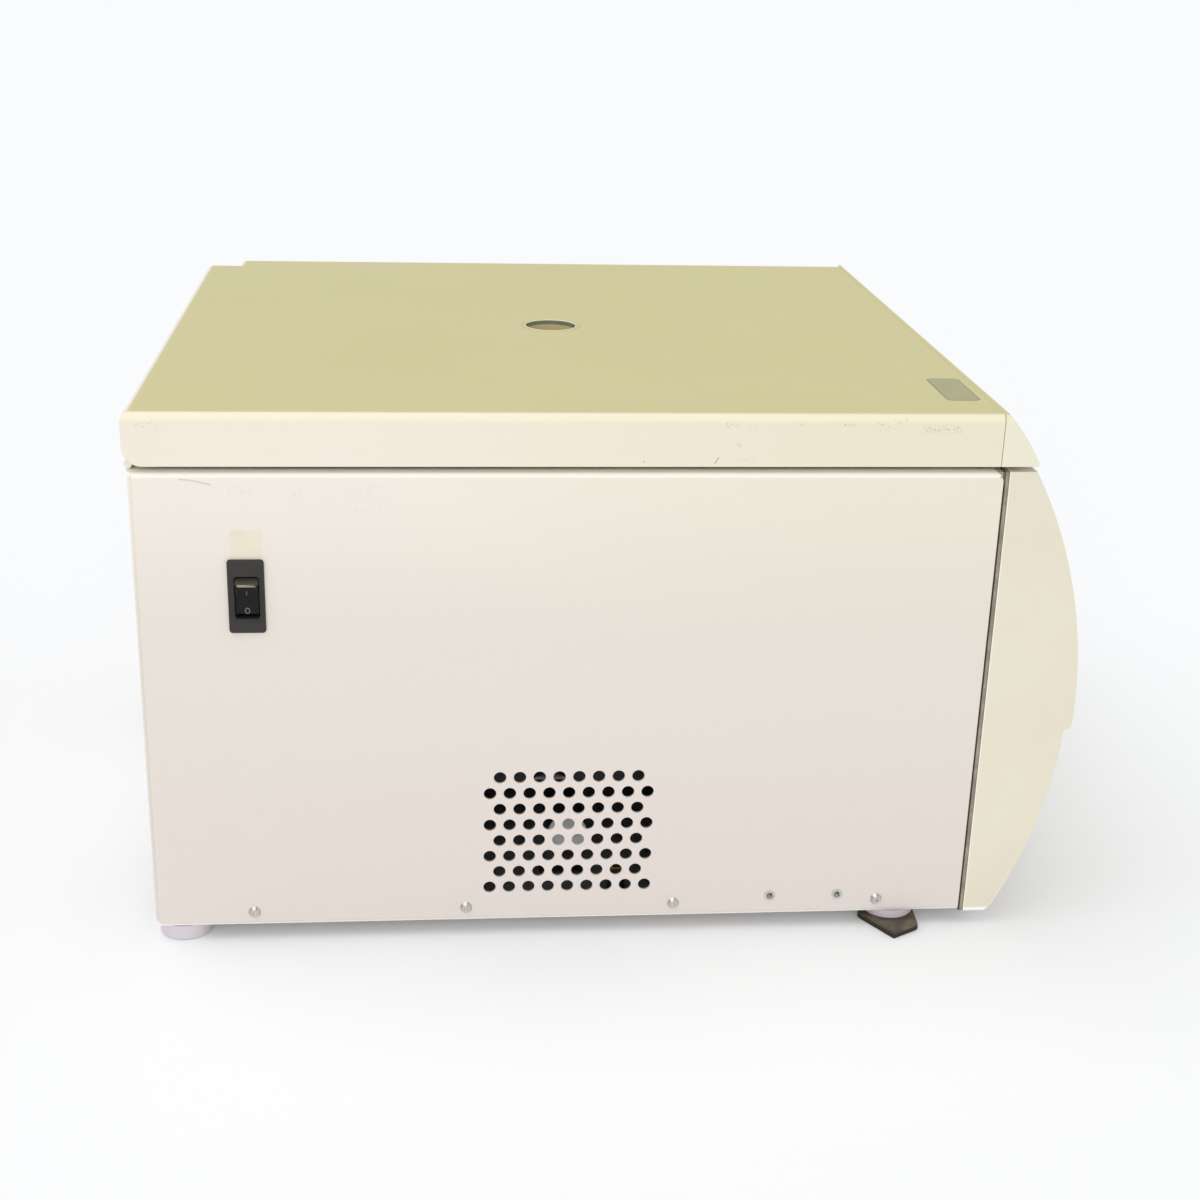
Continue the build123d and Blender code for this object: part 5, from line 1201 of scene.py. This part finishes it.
# the body each key rides, its symbol's ink and its slot
keyDress = {
    "open_key": ("open_button", "whiteInk", "key_blue"),
    "start_key": ("start_button", "greyInk", "key_grey"),
    "stop_key": ("stop_button", "greyInk", "key_grey"),
}


def makeKeySymbol(node, outlines):
    out = panelOut(node)
    low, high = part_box(node)
    front = Vector(((low.x + high.x) / 2, low.y, high.z - panelMarks["symbolDrop"]))
    shape = inkShape(outlines, panelMarks["height"])
    pressOn(shape, node, front, (1, 0, 0), out)
    meshPiece(node.split("_")[0] + "Symbol", shape, *keyDress[node])


for knob in ("speed_knob", "time_knob"):
    makeDialTicks(knob, panelMarks)
for key, outlines in keySymbols.items():
    makeKeySymbol(key, outlines)
print("control panel printed")


# studio: pale floor, soft daylight from the camera side and from above
studio = {
    "floorSize": 60.0,
    "floorColour": (0.875, 0.885, 0.9),
    "floorGlow": 0.07,
    "backdrop": 0.975,
    "ambient": 0.525,
    "suns": [
        ("topSun", 1.12, (0.07, -0.31, -0.95), 62.0),
        ("lowSun", 0.84, (0.915, -0.12, -0.385), 42.0),
        ("frontSun", 0.24, (0.1, 0.93, -0.32), 50.0),
        ("backSun", 0.18, (-0.75, -0.55, -0.36), 50.0),
    ],
}


def makeFloor(settings):
    half = settings["floorSize"] / 2
    shape = bmesh.new()
    corners = ((-half, -half), (half, -half), (half, half), (-half, half))
    shape.faces.new([shape.verts.new((x, y, 0.0)) for x, y in corners])
    floor = addObject("studioFloor", toMesh(shape, "studioFloor"))
    material, shader = startMaterial("studioPaper", settings["floorColour"], 0.9)
    shader.inputs["Specular IOR Level"].default_value = 0.0
    paths = addNode(material, "ShaderNodeLightPath").outputs
    glow = addNode(material, "ShaderNodeEmission", {"Color": (*[settings["floorGlow"]] * 3, 1.0)})
    seen = calculate(material, "MAXIMUM", paths["Is Camera Ray"], paths["Is Glossy Ray"])
    seen = calculate(material, "MAXIMUM", seen, paths["Is Transmission Ray"])
    plug(material, seen, glow.inputs["Strength"])
    both = addNode(material, "ShaderNodeAddShader")
    plug(material, shader.outputs["BSDF"], both.inputs[0])
    plug(material, glow.outputs["Emission"], both.inputs[1])
    plug(material, both.outputs["Shader"], material.node_tree.nodes["Material Output"].inputs["Surface"])
    floor.data.materials.append(material)


def makeWorld(settings):
    world = bpy.data.worlds.new("studioWorld")
    world.use_nodes = True
    back = world.node_tree.nodes["Background"]
    back.inputs["Color"].default_value = (1.0, 1.0, 1.0, 1.0)
    paths = addNode(world, "ShaderNodeLightPath").outputs
    seen = calculate(world, "MAXIMUM", paths["Is Camera Ray"], paths["Is Transmission Ray"])
    ends = {"To Min": settings["ambient"], "To Max": settings["backdrop"]}
    level = addNode(world, "ShaderNodeMapRange", ends)
    plug(world, seen, level.inputs["Value"])
    plug(world, level.outputs["Result"], back.inputs["Strength"])
    bpy.context.scene.world = world


def makeSuns(settings):
    for name, strength, direction, spreadAngle in settings["suns"]:
        data = bpy.data.lights.new(name, "SUN")
        data.energy = strength
        data.angle = math.radians(spreadAngle)
        sun = addObject(name, data)
        sun.rotation_euler = Vector(direction).to_track_quat("-Z", "Y").to_euler()


makeFloor(studio)
makeWorld(studio)
makeSuns(studio)
print("studio lit")
